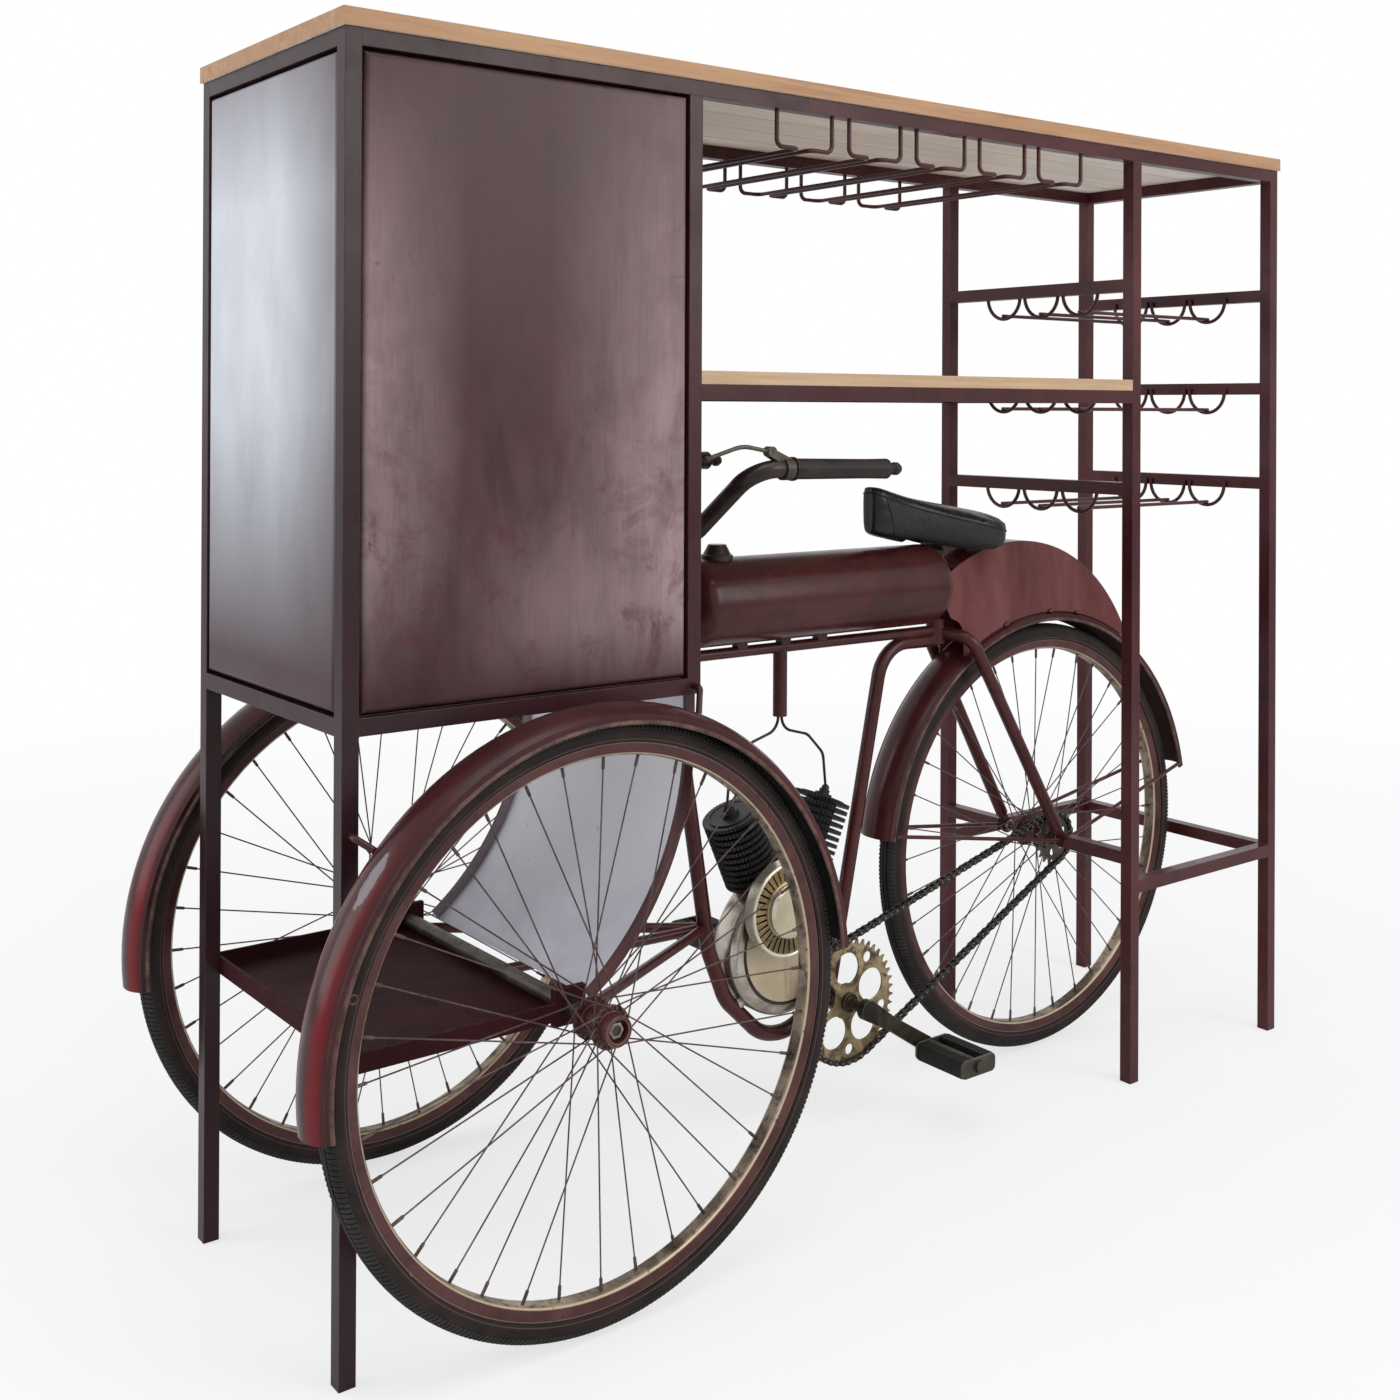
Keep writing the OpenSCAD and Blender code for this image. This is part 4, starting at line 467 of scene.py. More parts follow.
# rim: stained well, thin cream bead, painted wall
def rimFinish(name, s):
    finish, shader, where = startFinish(name)
    radius, across = wheelPlace(where, s["middle"])
    wide = cloud(where, 12, 6, 0.65, 0.5)
    spots = cloud(where, 44, 8, 0.72, 0.8)
    chips = band(cloud(where, 110, 6, 0.7), 0.62, 0.66)
    well = tint(band(wide, 0.38, 0.6), *s["well"])
    well = tint(band(spots, 0.48, 0.64, 0, 0.9), well, s["wellStain"])
    wall = tint(band(wide, 0.4, 0.62), *s["wall"])
    colour = tint(band(across, *s["beadFrom"]), well, s["bead"])
    colour = tint(band(radius, *s["wallFrom"]), colour, wall)
    fill(shader, {
        "Base Color": layered(colour, s, lip=band(radius, *s["lipFrom"]), chip=chips),
        "Roughness": band(spots, 0.3, 0.7, 0.28, 0.52), "Metallic": 0.3,
        "Specular IOR Level": 0.4, "Normal": relief(minus(spots, chips), 0.25, 0.0005)})
    return finish


rimSet = dict(
    well=((0.07, 0.044, 0.026), (0.36, 0.28, 0.2)), wellStain=(0.02, 0.011, 0.007), bead=(0.55, 0.44, 0.3),
    wall=((0.05, 0.013, 0.013), (0.095, 0.035, 0.033)), lip=(0.2, 0.14, 0.1), chip=(0.028, 0.015, 0.011),
    beadFrom=(0.0088, 0.0092), wallFrom=(0.3108, 0.3114), lipFrom=(0.3222, 0.3227))


# tyre: dusty tread, browner wall with one pale line and fine ribs
def tyreFinish(name, s):
    finish, shader, where = startFinish(name)
    radius = wheelPlace(where, s["middle"])[0]
    dust = cloud(where, 14, 6, 0.65, 0.4)
    grit = cloud(where, 160, 5, 0.7)
    tread = tint(band(dust, 0.35, 0.68), s["rubber"], s["dusty"])
    wallTone = tint(band(dust, 0.4, 0.65), *s["wall"])
    colour = tint(band(radius, *s["wallTo"]), tread, wallTone)
    line = work("ABSOLUTE", minus(radius, s["lineAt"]))
    ribs = work("SINE", times(radius, 2 * math.pi / s["ribStep"]))
    fill(shader, {
        "Base Color": layered(colour, s, line=band(line, *s["lineHalf"]), dusty=band(grit, 0.62, 0.74, 0, 0.4)),
        "Roughness": band(dust, 0.3, 0.7, 0.5, 0.75), "Specular IOR Level": 0.15,
        "Normal": relief(plus(times(ribs, 0.5), times(grit, 0.6)), 0.35, 0.0006)})
    return finish


tyreSet = dict(
    rubber=(0.008, 0.0072, 0.007), dusty=(0.034, 0.029, 0.027), wall=((0.014, 0.009, 0.0085), (0.034, 0.021, 0.019)),
    line=(0.075, 0.05, 0.042), wallTo=(0.3385, 0.3365), lineAt=0.3275, lineHalf=(0.0008, 0.0003), ribStep=0.0032)


def rubberFinish(name, s):
    finish, shader, where = startFinish(name)
    dust = cloud(where, s["cloudScale"], 6, 0.65, 0.4)
    colour = tint(band(dust, 0.36, 0.7), s["base"], s["dusty"])
    soft, edge = softEdges(where, 0.0009)
    colour = tint(times(edge, s["edgeMost"]), colour, s["worn"])
    height = times(cloud(where, 240, 4, 0.6), 0.3)
    if s["cuts"]:  # grooves across the block, one every few millimetres along the axle
        share = work("FRACT", work("DIVIDE", spotOf(where)[1], s["cuts"]))
        cut = band(work("ABSOLUTE", minus(share, 0.5)), 0.36, 0.42)
        colour = tint(times(cut, 0.85), colour, (0.002, 0.002, 0.002))
        height = minus(height, times(cut, 2.0))
    fill(shader, {
        "Base Color": colour, "Roughness": band(dust, 0.3, 0.7, *s["rough"]), "Specular IOR Level": 0.2,
        "Normal": relief(height, 0.8, 0.0005, soft)})
    return finish


pedalRubber = rubberFinish("pedalRubber", dict(
    base=(0.007, 0.007, 0.007), dusty=(0.026, 0.024, 0.023), worn=(0.08, 0.075, 0.07), edgeMost=0.5, cloudScale=26,
    rough=(0.4, 0.62), cuts=0.0062))
gripRubber = rubberFinish("gripRubber", dict(
    base=(0.014, 0.0095, 0.009), dusty=(0.034, 0.023, 0.021), worn=(0.08, 0.06, 0.052), edgeMost=0.4, cloudScale=30,
    rough=(0.34, 0.52), cuts=0))
blockRubber = rubberFinish("treadRubber", dict(
    base=(0.01, 0.0095, 0.009), dusty=(0.045, 0.04, 0.037), worn=(0.12, 0.11, 0.1), edgeMost=0.6, cloudScale=12,
    rough=(0.55, 0.75), cuts=0))


# saddle vinyl: smooth band on top, small raised dots below the seam
def vinylFinish(name, s):
    finish, shader, where = startFinish(name)
    x, _, z = spotOf(where)
    startX, startZ, fall, sag = s["seam"]
    back = minus(x, startX)
    seam = times(back, plus(times(back, sag), fall))
    below = minus(plus(seam, startZ), z)
    behind = band(minus(back, times(below, s["noseLean"])), *s["noseSeam"])
    skirt = times(band(below, -0.0004, 0.0004), behind)
    side = stretched(where, (1, 0, 1), (0, s["dotTurn"], 0))
    cells = put(where.id_data, "TexVoronoi", "Distance",
                {"Vector": side, "Scale": s["dotScale"], "Randomness": 0.0})
    dots = times(band(cells, *s["dotRamp"]), skirt)
    grain = cloud(where, 900, 3, 0.6)
    dust = cloud(where, 18, 6, 0.6, 0.4)
    colour = tint(band(dust, 0.36, 0.7), s["base"], s["dusty"])
    fill(shader, {
        "Base Color": tint(times(dots, 0.5), colour, s["dot"]), "Specular IOR Level": 0.3,
        "Roughness": plus(band(dust, 0.3, 0.7, 0.2, 0.34), times(skirt, 0.1)),
        "Normal": relief(plus(dots, times(grain, 0.35)), 0.55, 0.0007)})
    return finish


saddleSeam = ((955 - cartMiddle) / 1000, 0.938, -0.338, 0.268)  # start x, height there, fall, sag
saddleVinyl = vinylFinish("saddleVinyl", dict(
    seam=saddleSeam, noseLean=0.37, noseSeam=(0.0326, 0.0334), dotTurn=math.radians(15), dotScale=320.0,
    dotRamp=(0.46, 0.2), base=(0.0055, 0.0065, 0.008), dusty=(0.011, 0.0125, 0.015), dot=(0.022, 0.026, 0.031)))
pipingVinyl = rubberFinish("pipingVinyl", dict(
    base=(0.008, 0.008, 0.009), dusty=(0.02, 0.021, 0.023), worn=(0.06, 0.06, 0.062), edgeMost=0.3, cloudScale=40,
    rough=(0.3, 0.45), cuts=0))


# planks: each board's grain is shifted by its own chance value; the underside is limewashed, with dark joints
def woodFinish(name, s):
    finish, shader, where = startFinish(name)
    tree = where.id_data
    x, y, z = spotOf(where)
    boards = work("DIVIDE", plus(y, s["half"]), s["plank"])
    chance = put(tree, "TexWhiteNoise", "Value", {"W": work("FLOOR", boards)}, noise_dimensions="1D")
    along = plus(x, times(chance, s["shift"]))
    board = put(tree, "CombineXYZ", "Vector", {"X": along, "Y": y, "Z": z})
    flow = cloud(stretched(board, (1.1, 16, 16)), 2.2, 6, 0.6, 1.2)
    rings = put(tree, "TexWave", "Fac", {
        "Vector": stretched(board, (0.5, 14, 14)), "Scale": 3.2, "Distortion": 7.0, "Detail": 3.0, "Detail Scale": 1.6,
        "Detail Roughness": 0.6}, bands_direction="Y")
    pores = cloud(stretched(board, (7, 170, 170)), 3.0, 4, 0.7)
    knots = cloud(stretched(board, (2.5, 9, 9)), 1.4, 4, 0.6, 1.5)
    light, pale, ring, knot = s["tones"]
    colour = tint(band(flow, 0.34, 0.66), light, pale)
    colour = tint(times(band(rings, 0.35, 0.95), s["ringMost"]), colour, ring)
    colour = tint(band(knots, 0.66, 0.78, 0, 0.6), colour, knot)
    colour = tint(band(pores, 0.58, 0.7, 0, s["poreMost"]), colour, s["pore"])
    colour = tint(times(chance, s["plankMost"]), colour, light)
    limed = tint(band(flow, 0.36, 0.68), *s["limed"][:2])
    limed = tint(band(pores, 0.54, 0.68, 0, 0.6), limed, s["limed"][2])
    limed = tint(times(chance, 0.45), limed, s["limed"][3])
    joint = band(work("ABSOLUTE", minus(work("FRACT", boards), 0.5)), 0.484, 0.492)
    limed = tint(times(joint, 0.7), limed, s["pore"])
    up = spotOf(put(tree, "NewGeometry", "Normal"))[2]
    colour = tint(band(up, -0.4, -0.7), colour, limed)
    soft, edge = softEdges(where, 0.0012)
    fill(shader, {
        "Base Color": tint(times(edge, 0.35), colour, s["worn"]), "Roughness": band(flow, 0.3, 0.7, 0.45, 0.62),
        "Specular IOR Level": 0.35, "Normal": relief(minus(times(flow, 0.5), pores), 0.3, 0.0006, soft)})
    return finish


topWood = woodFinish("honeyPlanks", dict(
    half=0.211, plank=0.0844, plankMost=0.35, ringMost=0.5, poreMost=0.5, shift=7.3,
    tones=((0.38, 0.2, 0.1), (0.5, 0.305, 0.17), (0.26, 0.125, 0.06), (0.13, 0.06, 0.03)),
    limed=((0.72, 0.64, 0.55), (0.9, 0.85, 0.78), (0.42, 0.34, 0.27), (0.62, 0.53, 0.44)), pore=(0.19, 0.09, 0.045),
    worn=(0.63, 0.43, 0.26)))
shelfWood = woodFinish("paleShelf", dict(
    half=0.2075, plank=0.1383, plankMost=0.3, ringMost=0.4, poreMost=0.45, shift=7.3,
    tones=((0.49, 0.325, 0.195), (0.6, 0.43, 0.28), (0.38, 0.23, 0.135), (0.24, 0.135, 0.075)),
    limed=((0.48, 0.4, 0.32), (0.6, 0.52, 0.43), (0.3, 0.23, 0.17), (0.4, 0.33, 0.27)), pore=(0.27, 0.16, 0.09),
    worn=(0.68, 0.52, 0.35)))
print("wood, rubber and vinyl finishes made")


skinSet = dict(join=0.000002, crease=32)


def setSmooth(mesh, smooth=True):
    mesh.polygons.foreach_set("use_smooth", [smooth] * len(mesh.polygons))


def keepCreases(piece, angle):
    split = piece.modifiers.new("keepCreases", "EDGE_SPLIT")
    split.split_angle = math.radians(angle)


def dressNode(name, finish):
    node = cadNodes[name]
    node.data.materials.clear()
    node.data.materials.append(finish)
    setSmooth(node.data)
    weld = node.modifiers.new("joinSkin", "WELD")
    weld.merge_threshold = skinSet["join"]
    keepCreases(node, skinSet["crease"])


nodeFinishes = {
    tubePaint: ("posts", "top_rails", "cabinet_rails", "rack_rails", "panel_stops", "cabinet_floor"),
    wirePaint: ("bottle_cradles", "glass_rack"),
    trayPaint: ("tray_rails", "tray_plate"),
    panelPaint: ("cabinet_panels", "cabinet_door"),
    scoopPaint: ("scoop",),
    bikePaint: ("bike_frame", "tank", "guard_stays", "axle_stays"),
    cowlPaint: ("rear_cowl",),
    oldSteel: ("hinge_posts", "hinge_leaves", "axles", "rear_sprocket", "near_pedal", "far_pedal", "lever_brackets",
               "near_lever", "far_lever"),
    brightSteel: ("axle_nuts",),
    crankOlive: ("cranks",),
    spokeSteel: ("near_spokes", "far_spokes", "rear_spokes"),
    hubPaint: ("near_hub", "far_hub", "rear_hub"),
    ringBrass: ("chainring", "door_knob"),
    chainSteel: ("chain",),
    darkBar: ("handlebar", "stem", "seat_post", "tank_cap"),
    blackIron: ("cylinders", "plug_wires"),
    caseCream: ("crankcase",),
    coverBrass: ("round_cover",),
    pedalRubber: ("near_treads", "far_treads"),
    saddleVinyl: ("saddle",),
    gripRubber: ("grips",),
    topWood: ("table_top",),
    shelfWood: ("shelf_board",),
}
for finish, names in nodeFinishes.items():
    for name in names:
        dressNode(name, finish)
for wheel, middle in wheelMiddles.items():
    dressNode(wheel + "_tyre", tyreFinish(wheel + "TyreRubber", dict(tyreSet, middle=middle)))
    dressNode(wheel + "_rim", rimFinish(wheel + "RimMetal", dict(rimSet, middle=middle)))
frontSet = dict(guardSet, middle=wheelMiddles["far"], outer=0.369)
rearSet = dict(guardSet, under=(0.026, 0.0085, 0.0085), middle=wheelMiddles["rear"], outer=0.38)
dressNode("front_guards", guardFinish("frontGuardPaint", frontSet))
dressNode("rear_guard", guardFinish("rearGuardPaint", rearSet))
print("frame dressed")


def makePiece(name, mesh, finish, body):
    piece = bpy.data.objects.new(name, mesh)
    scene.collection.objects.link(piece)
    mesh.materials.append(finish)
    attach(piece, body)
    return piece


def smoothMesh(name, build):
    mesh = bpy.data.meshes.new(name)
    build.to_mesh(mesh)
    build.free()
    setSmooth(mesh)
    return mesh


def ringTurns(count):
    return [2 * math.pi * k / count for k in range(count)]


def bridge(build, a, b):
    for k in range(len(a)):
        build.faces.new((a[k], a[(k + 1) % len(a)], b[(k + 1) % len(a)], b[k]))


# a round sweep along a path, its radius given point by point
def sweepTube(build, path, radii, sides=8, closed=False):
    count, side, rings = len(path), None, []
    for i, point in enumerate(path):
        before = path[i - 1] if i or closed else path[0]
        after = path[(i + 1) % count] if i + 1 < count or closed else path[-1]
        ahead = (after - before).normalized()
        side = ahead.orthogonal() if side is None else side - ahead * side.dot(ahead)
        side.normalize()
        other = ahead.cross(side)
        rings.append([build.verts.new(point + radii[i] * (side * math.cos(t) + other * math.sin(t)))
                      for t in ringTurns(sides)])
    for a, b in list(zip(rings, rings[1:])) + ([(rings[-1], rings[0])] if closed else []):
        bridge(build, a, b)
    if not closed:
        build.faces.new(rings[0][::-1])
        build.faces.new(rings[-1])


# saddle: a stuffed cover drawn in along its seam, hollow underneath
saddleSet = dict(
    nose=968, length=260, rows=40, around=48, noseTo=0.1, tailFrom=0.86, blunt=(0.75, 0.6), flareFrom=0.22,
    flareOver=0.6, half=27, flare=52, top=949, fall=57.98, dish=6, endDrop=8, low=866, lowFall=45, lowCurve=10,
    tailLift=42, tailCurve=0.8, tuck=0.13, sideRound=0.5, topRound=0.7, lowRound=0.45, inset=0.0025, voxel=0.0045,
    held=0.0025, pressure=6.0, stretch=18, bend=0.4, frames=20, cap=0.006, crease=50, pipe=0.0015, sideSeam=0.7)


def saddleSkin(s):
    build = bmesh.new()
    rings = []
    for i in range(s["rows"] + 1):
        u = 0.5 - 0.5 * math.cos(math.pi * i / s["rows"])
        n = max(0, s["noseTo"] - u) / s["noseTo"]
        t = max(0, u - s["tailFrom"]) / (1 - s["tailFrom"])
        blend = min(1, max(0, (u - s["flareFrom"]) / s["flareOver"]))
        ends = math.sqrt(1 - s["blunt"][0] * n * n) * math.sqrt(1 - s["blunt"][1] * t * t)
        half = (s["half"] + s["flare"] * blend * blend * (3 - 2 * blend)) * ends
        drop = s["endDrop"] * (1 - ends)
        top = s["top"] - s["fall"] * u - s["dish"] * math.sin(math.pi * u) - drop  # sits a little dished
        lift = s["tailLift"] * (1 - math.sqrt(1 - s["tailCurve"] * t * t))
        low = s["low"] - s["lowFall"] * u + s["lowCurve"] * u * u + lift + drop
        ring = []
        for a in ringTurns(s["around"]):
            c, v = math.cos(a), math.sin(a)
            y = half * (1 - s["tuck"] * (1 - v) / 2) * math.copysign(abs(c) ** s["sideRound"], c)
            rounding = s["topRound"] if v > 0 else s["lowRound"]
            z = (top + low) / 2 + (top - low) / 2 * math.copysign(abs(v) ** rounding, v)
            ring.append(build.verts.new(at(s["nose"] + s["length"] * u, y, z)))
        rings.append(ring)
    for a, b in zip(rings, rings[1:]):
        bridge(build, a, b)
    build.faces.new(rings[0])
    build.faces.new(rings[-1][::-1])
    bmesh.ops.recalc_face_normals(build, faces=build.faces)
    build.normal_update()
    for vert in build.verts:
        vert.co -= vert.normal * s["inset"]
    return smoothMesh("saddlePad", build)


def settled(piece):
    copy = bpy.data.meshes.new_from_object(piece.evaluated_get(bpy.context.evaluated_depsgraph_get()))
    piece.modifiers.clear()
    piece.data = copy


def seamHeight(x):
    back = x - saddleSeam[0]
    return saddleSeam[1] + back * (saddleSeam[2] + back * saddleSeam[3])


def stuffPad(piece, s):
    remesh = piece.modifiers.new("evenSkin", "REMESH")
    remesh.mode = "VOXEL"
    remesh.voxel_size = s["voxel"]
    settled(piece)
    rest = [v.co.copy() for v in piece.data.vertices]
    held = piece.vertex_groups.new(name="seamLine")
    held.add([i for i, p in enumerate(rest) if abs(p.z - seamHeight(p.x)) < s["held"]], 1.0, "REPLACE")
    cloth = piece.modifiers.new("stuffing", "CLOTH")
    cloth.settings.use_pressure = True
    cloth.settings.uniform_pressure_force = s["pressure"]
    cloth.settings.effector_weights.gravity = 0.0
    cloth.settings.vertex_group_mass = "seamLine"
    cloth.settings.tension_stiffness = cloth.settings.compression_stiffness = s["stretch"]
    cloth.settings.bending_stiffness = s["bend"]
    cloth.point_cache.frame_start, cloth.point_cache.frame_end = 1, s["frames"]
    for step in range(1, s["frames"] + 1):
        scene.frame_set(step)
    puffed = piece.evaluated_get(bpy.context.evaluated_depsgraph_get())
    moved = [v.co.copy() for v in puffed.data.vertices]
    piece.modifiers.clear()
    scene.frame_set(1)
    for vert, start, end in zip(piece.data.vertices, rest, moved):
        move = end - start
        if move.length > s["cap"]:
            move = move.normalized() * s["cap"]
        vert.co = start + move
    rounded = piece.modifiers.new("roundSkin", "SUBSURF")
    rounded.levels = rounded.render_levels = 1
    settled(piece)
    setSmooth(piece.data)


# the seam's points on the finished cover: near side, round the tail, far side, round the nose
seamSet = dict(
    side=range(1000, 1181, 6), tail=1182, tailTurns=range(6, 175, 6), nose=998, noseTurns=range(8, 173, 8), downX=988,
    downStep=1.4, downDrop=0.0037, downPoints=15)


def seamPath(piece, s):
    tree = BVHTree.FromPolygons([v.co for v in piece.data.vertices], [p.vertices for p in piece.data.polygons])
    rays = [(x, (0, -1, 0)) for x in s["side"]]
    rays += [(s["tail"], (math.sin(a), -math.cos(a), 0)) for a in map(math.radians, s["tailTurns"])]
    rays += [(x, (0, 1, 0)) for x in reversed(s["side"])]
    rays += [(s["nose"], (-math.sin(a), math.cos(a), 0)) for a in map(math.radians, s["noseTurns"])]
    path = []
    for x, way in rays:
        start = at(x, 0, 0)
        start.z = seamHeight(start.x)
        way = Vector(way)
        way.z = way.x * (saddleSeam[2] + 2 * saddleSeam[3] * (start.x - saddleSeam[0]))
        hit = tree.ray_cast(start, way.normalized())[0]
        if hit is not None:
            path.append(hit)
    return path, tree


hollowSet = dict(
    outline=((1040, 14), (1120, 31), (1250, 31), (1250, -31), (1120, -31), (1040, -14)), floor=760, roof=884,
    slope=36 / 260)


def cutHollow(piece, s):
    build = bmesh.new()
    low = [build.verts.new(at(x, y, s["floor"])) for x, y in s["outline"]]
    high = [build.verts.new(at(x, y, s["roof"] - s["slope"] * (x - saddleSet["nose"]))) for x, y in s["outline"]]
    bridge(build, low, high)
    build.faces.new(high)
    build.faces.new(low[::-1])
    bmesh.ops.recalc_face_normals(build, faces=build.faces)
    cutter = bpy.data.objects.new("hollowCutter", smoothMesh("hollowCutter", build))
    scene.collection.objects.link(cutter)
    cut = piece.modifiers.new("hollow", "BOOLEAN")
    cut.operation = "DIFFERENCE"
    cut.object = cutter
    cut.solver = "EXACT"
    settled(piece)
    bpy.data.objects.remove(cutter, do_unlink=True)
    keepCreases(piece, saddleSet["crease"])


saddle = makePiece("saddle_pad", saddleSkin(saddleSet), saddleVinyl, "cart")
stuffPad(saddle, saddleSet)
seam, padTree = seamPath(saddle, seamSet)
cutHollow(saddle, hollowSet)
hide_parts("saddle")
piping = bmesh.new()
sweepTube(piping, seam, [saddleSet["pipe"]] * len(seam), 8, True)
for sign in (-1, 1):  # short seam down each side of the nose
    down = []
    for k in range(seamSet["downPoints"]):
        start = at(seamSet["downX"] + seamSet["downStep"] * k, 0, 0)
        start.z = seamHeight(start.x) - seamSet["downDrop"] * k
        hit = padTree.ray_cast(start, Vector((0, sign, 0)))[0]
        if hit is not None:
            down.append(hit)
    sweepTube(piping, down, [saddleSet["pipe"] * saddleSet["sideSeam"]] * len(down), 6)
makePiece("saddle_piping", smoothMesh("saddlePiping", piping), pipingVinyl, "cart")
print("saddle stuffed, seam points", len(seam))


# shoulder lugs moulded on the tyres
lugSet = dict(
    count=342, centre=0.332, section=0.018, fromTurn=27, toTurn=66, proud=0.0011, sunk=0.0006, share=0.6, slant=0.35,
    stagger=0.25, sections=4, endShare=0.75)


def treadLugs(name, middle, s):
    build = bmesh.new()
    step = 2 * math.pi / s["count"]
    last = s["sections"] - 1
    for i in range(s["count"]):
        for side in (-1, 1):
            grid = []
            for j in range(s["sections"]):
                f = j / last
                phi = math.radians(s["fromTurn"] + (s["toTurn"] - s["fromTurn"]) * f)
                proud = s["proud"] * (s["endShare"] if j in (0, last) else 1.0)
                for depth in (s["section"] - s["sunk"], s["section"] + proud):
                    reach, y = s["centre"] + depth * math.cos(phi), side * depth * math.sin(phi)
                    for edge in (-0.5, 0.5):
                        turn = step * (i + s["stagger"] * side + edge * s["share"] + s["slant"] * f)
                        spot = Vector((reach * math.cos(turn), y, reach * math.sin(turn)))
                        grid.append(build.verts.new(Vector(middle) + spot))
            # four corners a section, taken in turn round it: low, low, high, high
            corners = [[grid[4 * j + k] for k in (0, 1, 3, 2)] for j in range(s["sections"])]
            for a, b in zip(corners, corners[1:]):
                bridge(build, a, b)
            build.faces.new(corners[0])
            build.faces.new(corners[-1][::-1])
    bmesh.ops.recalc_face_normals(build, faces=build.faces)
    mesh = smoothMesh(name, build)
    setSmooth(mesh, False)
    return mesh


for wheel, middle in wheelMiddles.items():
    lugs = treadLugs(wheel + "Lugs", middle, lugSet)
    makePiece(wheel + "_lugs", lugs, blockRubber, wheel + "_wheel")
print("tyre lugs moulded")


# domed heads, used for chain pins and screws
domeRings = ((1.0, -0.4), (1.0, 0.35), (0.72, 0.82))  # share of the radius, share of the rise


def dome(build, place, out, radius, rise, sides=10):
    out = out.normalized()
    side = out.orthogonal().normalized()
    other = out.cross(side)
    rings = []
    for share, lift in domeRings:
        middle = place + out * rise * lift
        rings.append([build.verts.new(middle + radius * share * (side * math.cos(t) + other * math.sin(t)))
                      for t in ringTurns(sides)])
    tip = build.verts.new(place + out * rise)
    for a, b in zip(rings, rings[1:]):
        bridge(build, a, b)
    for k in range(sides):
        build.faces.new((rings[-1][k], rings[-1][(k + 1) % sides], tip))
    build.faces.new(rings[0][::-1])


chainSet = dict(
    pitch=12.7, ring=44, rear=20, run=39, crank=(892.31, 180.38), rise=20.5, line=-42, ringHeld=24, rearHeld=10,
    face=5.2, head=1.9, proud=0.9)


# the pins' places: round the chainring, round the sprocket, along both straight runs
def chainPoints(s):
    big, small = (s["pitch"] / (2 * math.sin(math.pi / s[k])) for k in ("ring", "rear"))
    ringStep, rearStep = 2 * math.pi / s["ring"], 2 * math.pi / s["rear"]
    ringHalf, rearHalf = (s["ringHeld"] - 1) / 2, (s["rearHeld"] - 1) / 2
    ringEdge, rearEdge = math.pi - ringHalf * ringStep, rearHalf * rearStep
    drop = big * math.sin(ringEdge) - small * math.sin(rearEdge)
    run = math.sqrt((s["run"] * s["pitch"]) ** 2 - drop ** 2)
    centres = big * math.cos(ringEdge) - small * math.cos(rearEdge) + run
    points = [(big * math.cos(a), big * math.sin(a)) for a in
              (math.pi + (i - ringHalf) * ringStep for i in range(s["ringHeld"]))]
    points += [(centres + small * math.cos(a), small * math.sin(a)) for a in
               ((i - rearHalf) * rearStep for i in range(s["rearHeld"]))]
    for sign in (-1, 1):
        for k in range(1, s["run"]):
            f = k / s["run"]
            x = big * math.cos(ringEdge) + f * run
            points.append((x, sign * (big * math.sin(ringEdge) - f * drop)))
    rise = math.radians(s["rise"])
    return [(s["crank"][0] + x * math.cos(rise) - z * math.sin(rise),
             s["crank"][1] + x * math.sin(rise) + z * math.cos(rise)) for x, z in points]


heads = bmesh.new()
for x, z in chainPoints(chainSet):
    for sign in (-1, 1):
        place = at(x, chainSet["line"] + sign * chainSet["face"], z)
        dome(heads, place, Vector((0, sign, 0)), chainSet["head"] / 1000, chainSet["proud"] / 1000)
makePiece("chain_pins", smoothMesh("chainPins", heads), pinSteel, "cart")
print("chain pins set")

# lumpy weld beads where the square tubes meet
weldSet = dict(
    radius=0.0021, lump=0.35, step=0.0016, seed=11, jitter=0.0003, endShare=0.55, outside=206, inside=189,
    cross=187.5, half=8.5)
tackSet = dict(weldSet, radius=0.0031, turns=(105.9, 89.1, 78.5), spread=0.9, reach=374, side=-29)


def weldBead(build, start, end, s, dice):
    count = max(4, int((end - start).length / s["step"]))
    path, radii = [], []
    for i in range(count + 1):
        jitter = Vector((dice.uniform(-1, 1), dice.uniform(-1, 1), dice.uniform(-1, 1))) * s["jitter"]
        path.append(start.lerp(end, i / count) + jitter)
        radii.append(s["radius"] * (s["endShare"] if i in (0, count) else 1 + s["lump"] * (dice.random() - 0.5)))
    sweepTube(build, path, radii, 8)


beads = bmesh.new()
dice = random.Random(weldSet["seed"])
longJoints = [(487, 1455), (1344, 1455), (1364, 1455), (1715, 1455), (20, 704), (467, 704), (487, 1073), (1344, 1073),
              (1364, 298), (1364, 318), (1715, 298), (1715, 318)]
for x, z in longJoints:
    for sign in (-1, 1):
        ends = [at(x, sign * side, z) for side in (weldSet["outside"], weldSet["inside"])]
        weldBead(beads, *ends, weldSet, dice)
crossJoints = [(10, 704), (477, 704), (477, 1455)] + [(1725, z) for z in (1455, 298, 1250, 1090, 927)]
crossJoints += [(1354, z) for z in (1250, 927)]
for x, z in crossJoints:
    for sign in (-1, 1):
        ends = [at(x + half, sign * weldSet["cross"], z) for half in (-weldSet["half"], weldSet["half"])]
        weldBead(beads, *ends, weldSet, dice)
for turn in tackSet["turns"]:  # tacks along the cowl's lower edge
    ends = [onWheel(rearAxle, tackSet["reach"], turn + spread, tackSet["side"])
            for spread in (-tackSet["spread"], tackSet["spread"])]
    weldBead(beads, *ends, tackSet, dice)
makePiece("weld_beads", smoothMesh("weldBeads", beads), weldPaint, "cart")
print("weld beads laid")

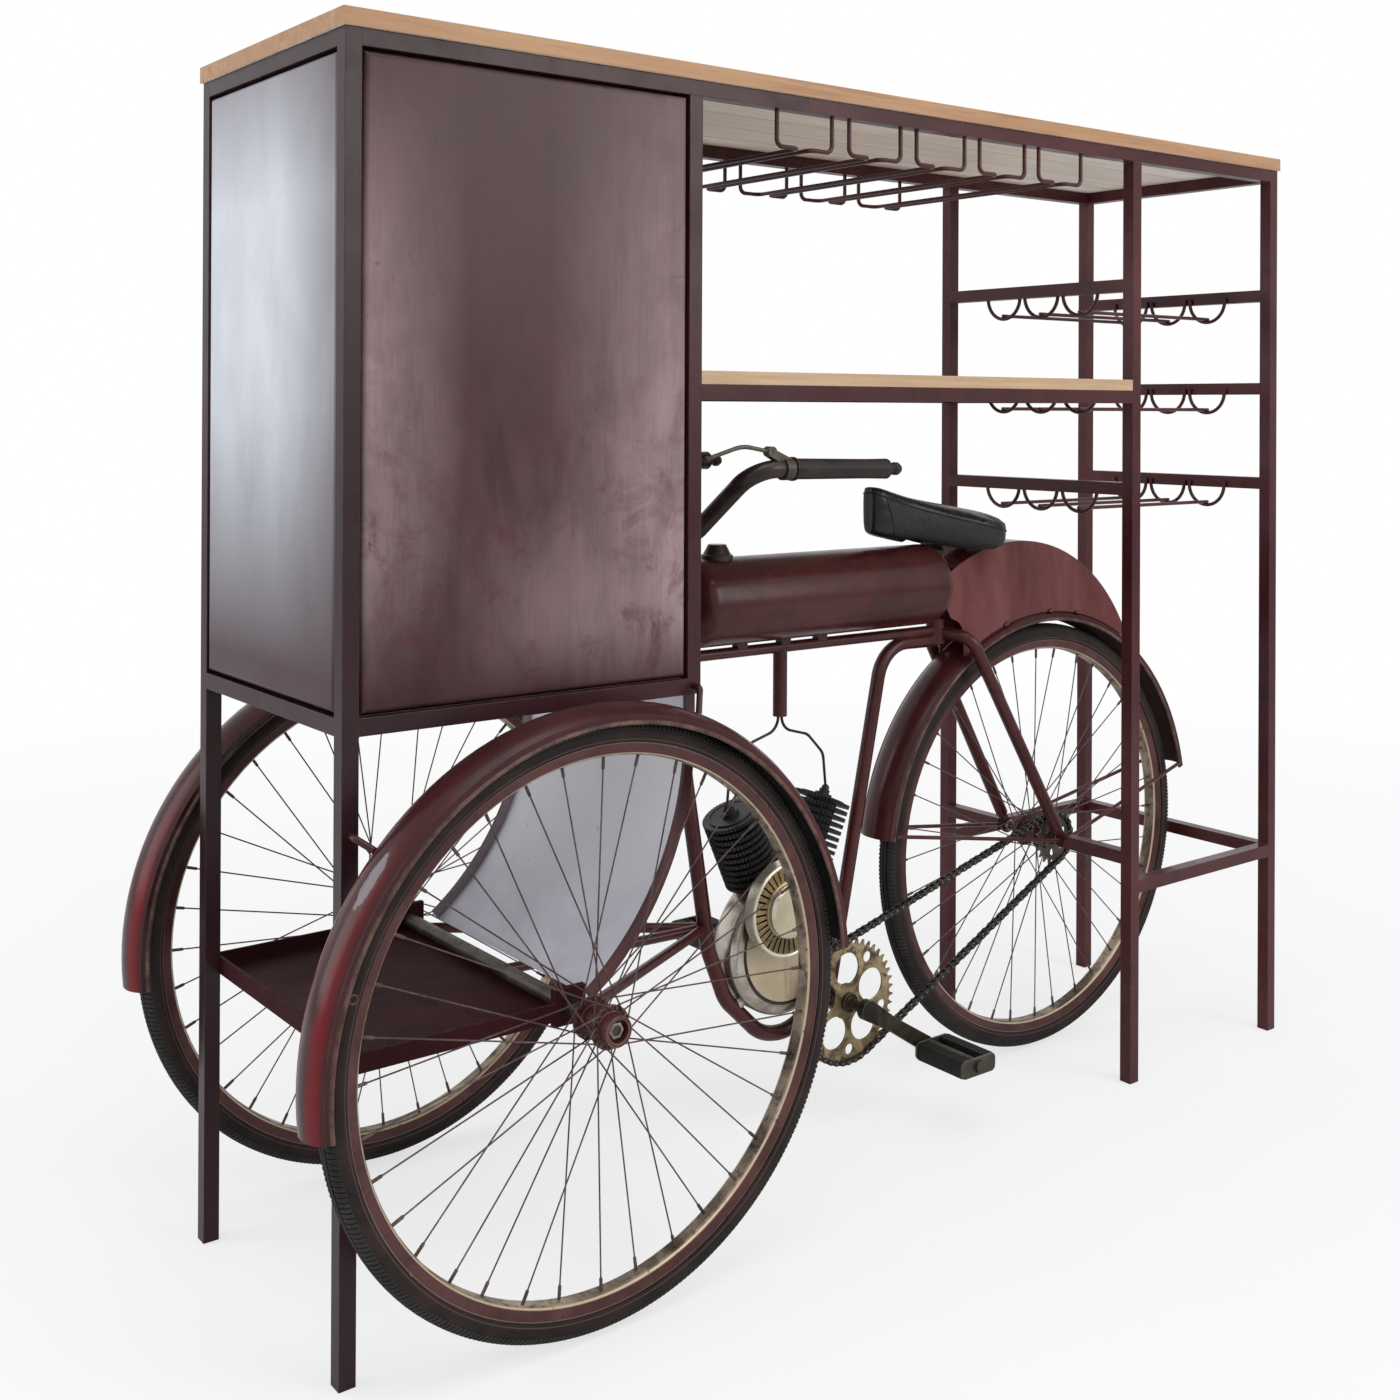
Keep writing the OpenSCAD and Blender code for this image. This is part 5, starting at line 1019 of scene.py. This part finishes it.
# small eyelets hanging from the front guards' skirts
earSet = dict(
    turn=162, edge=349, reach=343, side=305.2, ring=4.6, wire=0.0014, points=20, stub=(0.0016, 0.0021, 0.0024),
    neck=0.1)
ears = bmesh.new()
for sign in (-1, 1):
    ring, foot = (onWheel(frontAxle, earSet[k], earSet["turn"], sign * earSet["side"]) for k in ("reach", "edge"))
    circle = [ring + Vector((math.cos(a), 0, math.sin(a))) * earSet["ring"] / 1000
              for a in ringTurns(earSet["points"])]
    sweepTube(ears, circle, [earSet["wire"]] * earSet["points"], 8, True)
    out = (foot - ring).normalized()
    stub = [ring + out * earSet["ring"] / 1000, foot.lerp(ring, earSet["neck"]), foot]
    sweepTube(ears, stub, earSet["stub"], 8)
makePiece("guard_eyelets", smoothMesh("guardEyelets", ears), weldPaint, "cart")
print("guard eyelets hung")

# hinge screws: three on the post leaf, three on the door leaf
screwSet = dict(
    heights=(857.5, 1321.5), steps=(10, 30, 50), post=8.75, leaf=34, face=209, radius=0.0034, rise=0.0012, sides=14)
for name, x, body in (("post_screws", screwSet["post"], "cart"), ("leaf_screws", screwSet["leaf"], "door")):
    screws = bmesh.new()
    for low in screwSet["heights"]:
        for step in screwSet["steps"]:
            place = at(x, screwSet["face"], low + step)
            dome(screws, place, Vector((0, 1, 0)), screwSet["radius"], screwSet["rise"], screwSet["sides"])
    makePiece(name, smoothMesh(name, screws), brightSteel, body)
print("hinge screws set")


# floor and light: the floor keeps the cart's shadow close by and turns white further out
studioSet = dict(
    floor=(0.9, 0.9, 0.9), shade=0.98, drop=0.0005, rough=0.8, specular=0.1, whiten=(0.9, 4.0, 0.66, 1.0), reach=60,
    world=0.6, sky=(0.96, 0.98, 1.0))


def setStudio(s):
    floorMesh = bpy.data.meshes.new("studioFloor")
    r = s["reach"]
    floorMesh.from_pydata([(-r, -r, 0), (r, -r, 0), (r, r, 0), (-r, r, 0)], [], [(0, 1, 2, 3)])
    floor = bpy.data.objects.new("studioFloor", floorMesh)
    scene.collection.objects.link(floor)
    floor.location.z = -s["drop"]
    finish, shader, where = startFinish("studioFloor")
    tree = finish.node_tree
    fill(shader, {
        "Base Color": tint(cloud(where, 3, 4), s["floor"], [v * s["shade"] for v in s["floor"]]),
        "Roughness": s["rough"], "Specular IOR Level": s["specular"]})
    away = put(tree, "VectorMath", "Value", {0: where}, operation="LENGTH")
    share = times(band(away, *s["whiten"]), put(tree, "LightPath", "Is Camera Ray"))
    white = put(tree, "Emission", 0, {"Color": rgb((1, 1, 1)), "Strength": 1.0})
    mixed = put(tree, "MixShader", 0, {0: share, 1: shader.outputs[0], 2: white})
    fill(tree.nodes["Material Output"], {"Surface": mixed})
    floorMesh.materials.append(finish)
    world = bpy.data.worlds.new("studio")
    scene.world = world
    world.use_nodes = True
    tree = world.node_tree
    tree.nodes.clear()
    rays = [put(tree, "LightPath", f"Is {kind} Ray") for kind in ("Camera", "Transmission", "Glossy")]
    soft = put(tree, "Background", 0, {"Color": rgb(s["sky"]), "Strength": s["world"]})
    white = put(tree, "Background", 0, {"Color": rgb((1, 1, 1)), "Strength": 1.0})
    mixed = put(tree, "MixShader", 0, {0: work("MAXIMUM", *rays), 1: soft, 2: white})
    fill(tree.nodes.new("ShaderNodeOutputWorld"), {"Surface": mixed})


setStudio(studioSet)


def softbox(name, place, aim, size, power, colour):
    data = bpy.data.lights.new(name, "AREA")
    data.shape = "RECTANGLE"
    data.size, data.size_y = size
    data.energy = power
    data.color = colour
    lamp = bpy.data.objects.new(name, data)
    scene.collection.objects.link(lamp)
    lamp.location = place
    lamp.rotation_euler = (Vector(aim) - Vector(place)).to_track_quat("-Z", "Y").to_euler()


softbox("leftBox", (-4.0, 1.6, 2.0), (-0.4, 0.0, 0.8), (2.4, 3.0), 62, (0.95, 0.97, 1.0))
softbox("frontBox", (1.8, -4.2, 2.6), (0.1, 0.0, 0.8), (2.6, 2.6), 80, (1.0, 0.99, 0.97))
softbox("topBox", (-0.6, -1.2, 4.2), (0.0, 0.0, 0.6), (3.0, 3.0), 55, (1.0, 1.0, 1.0))
print("studio set")
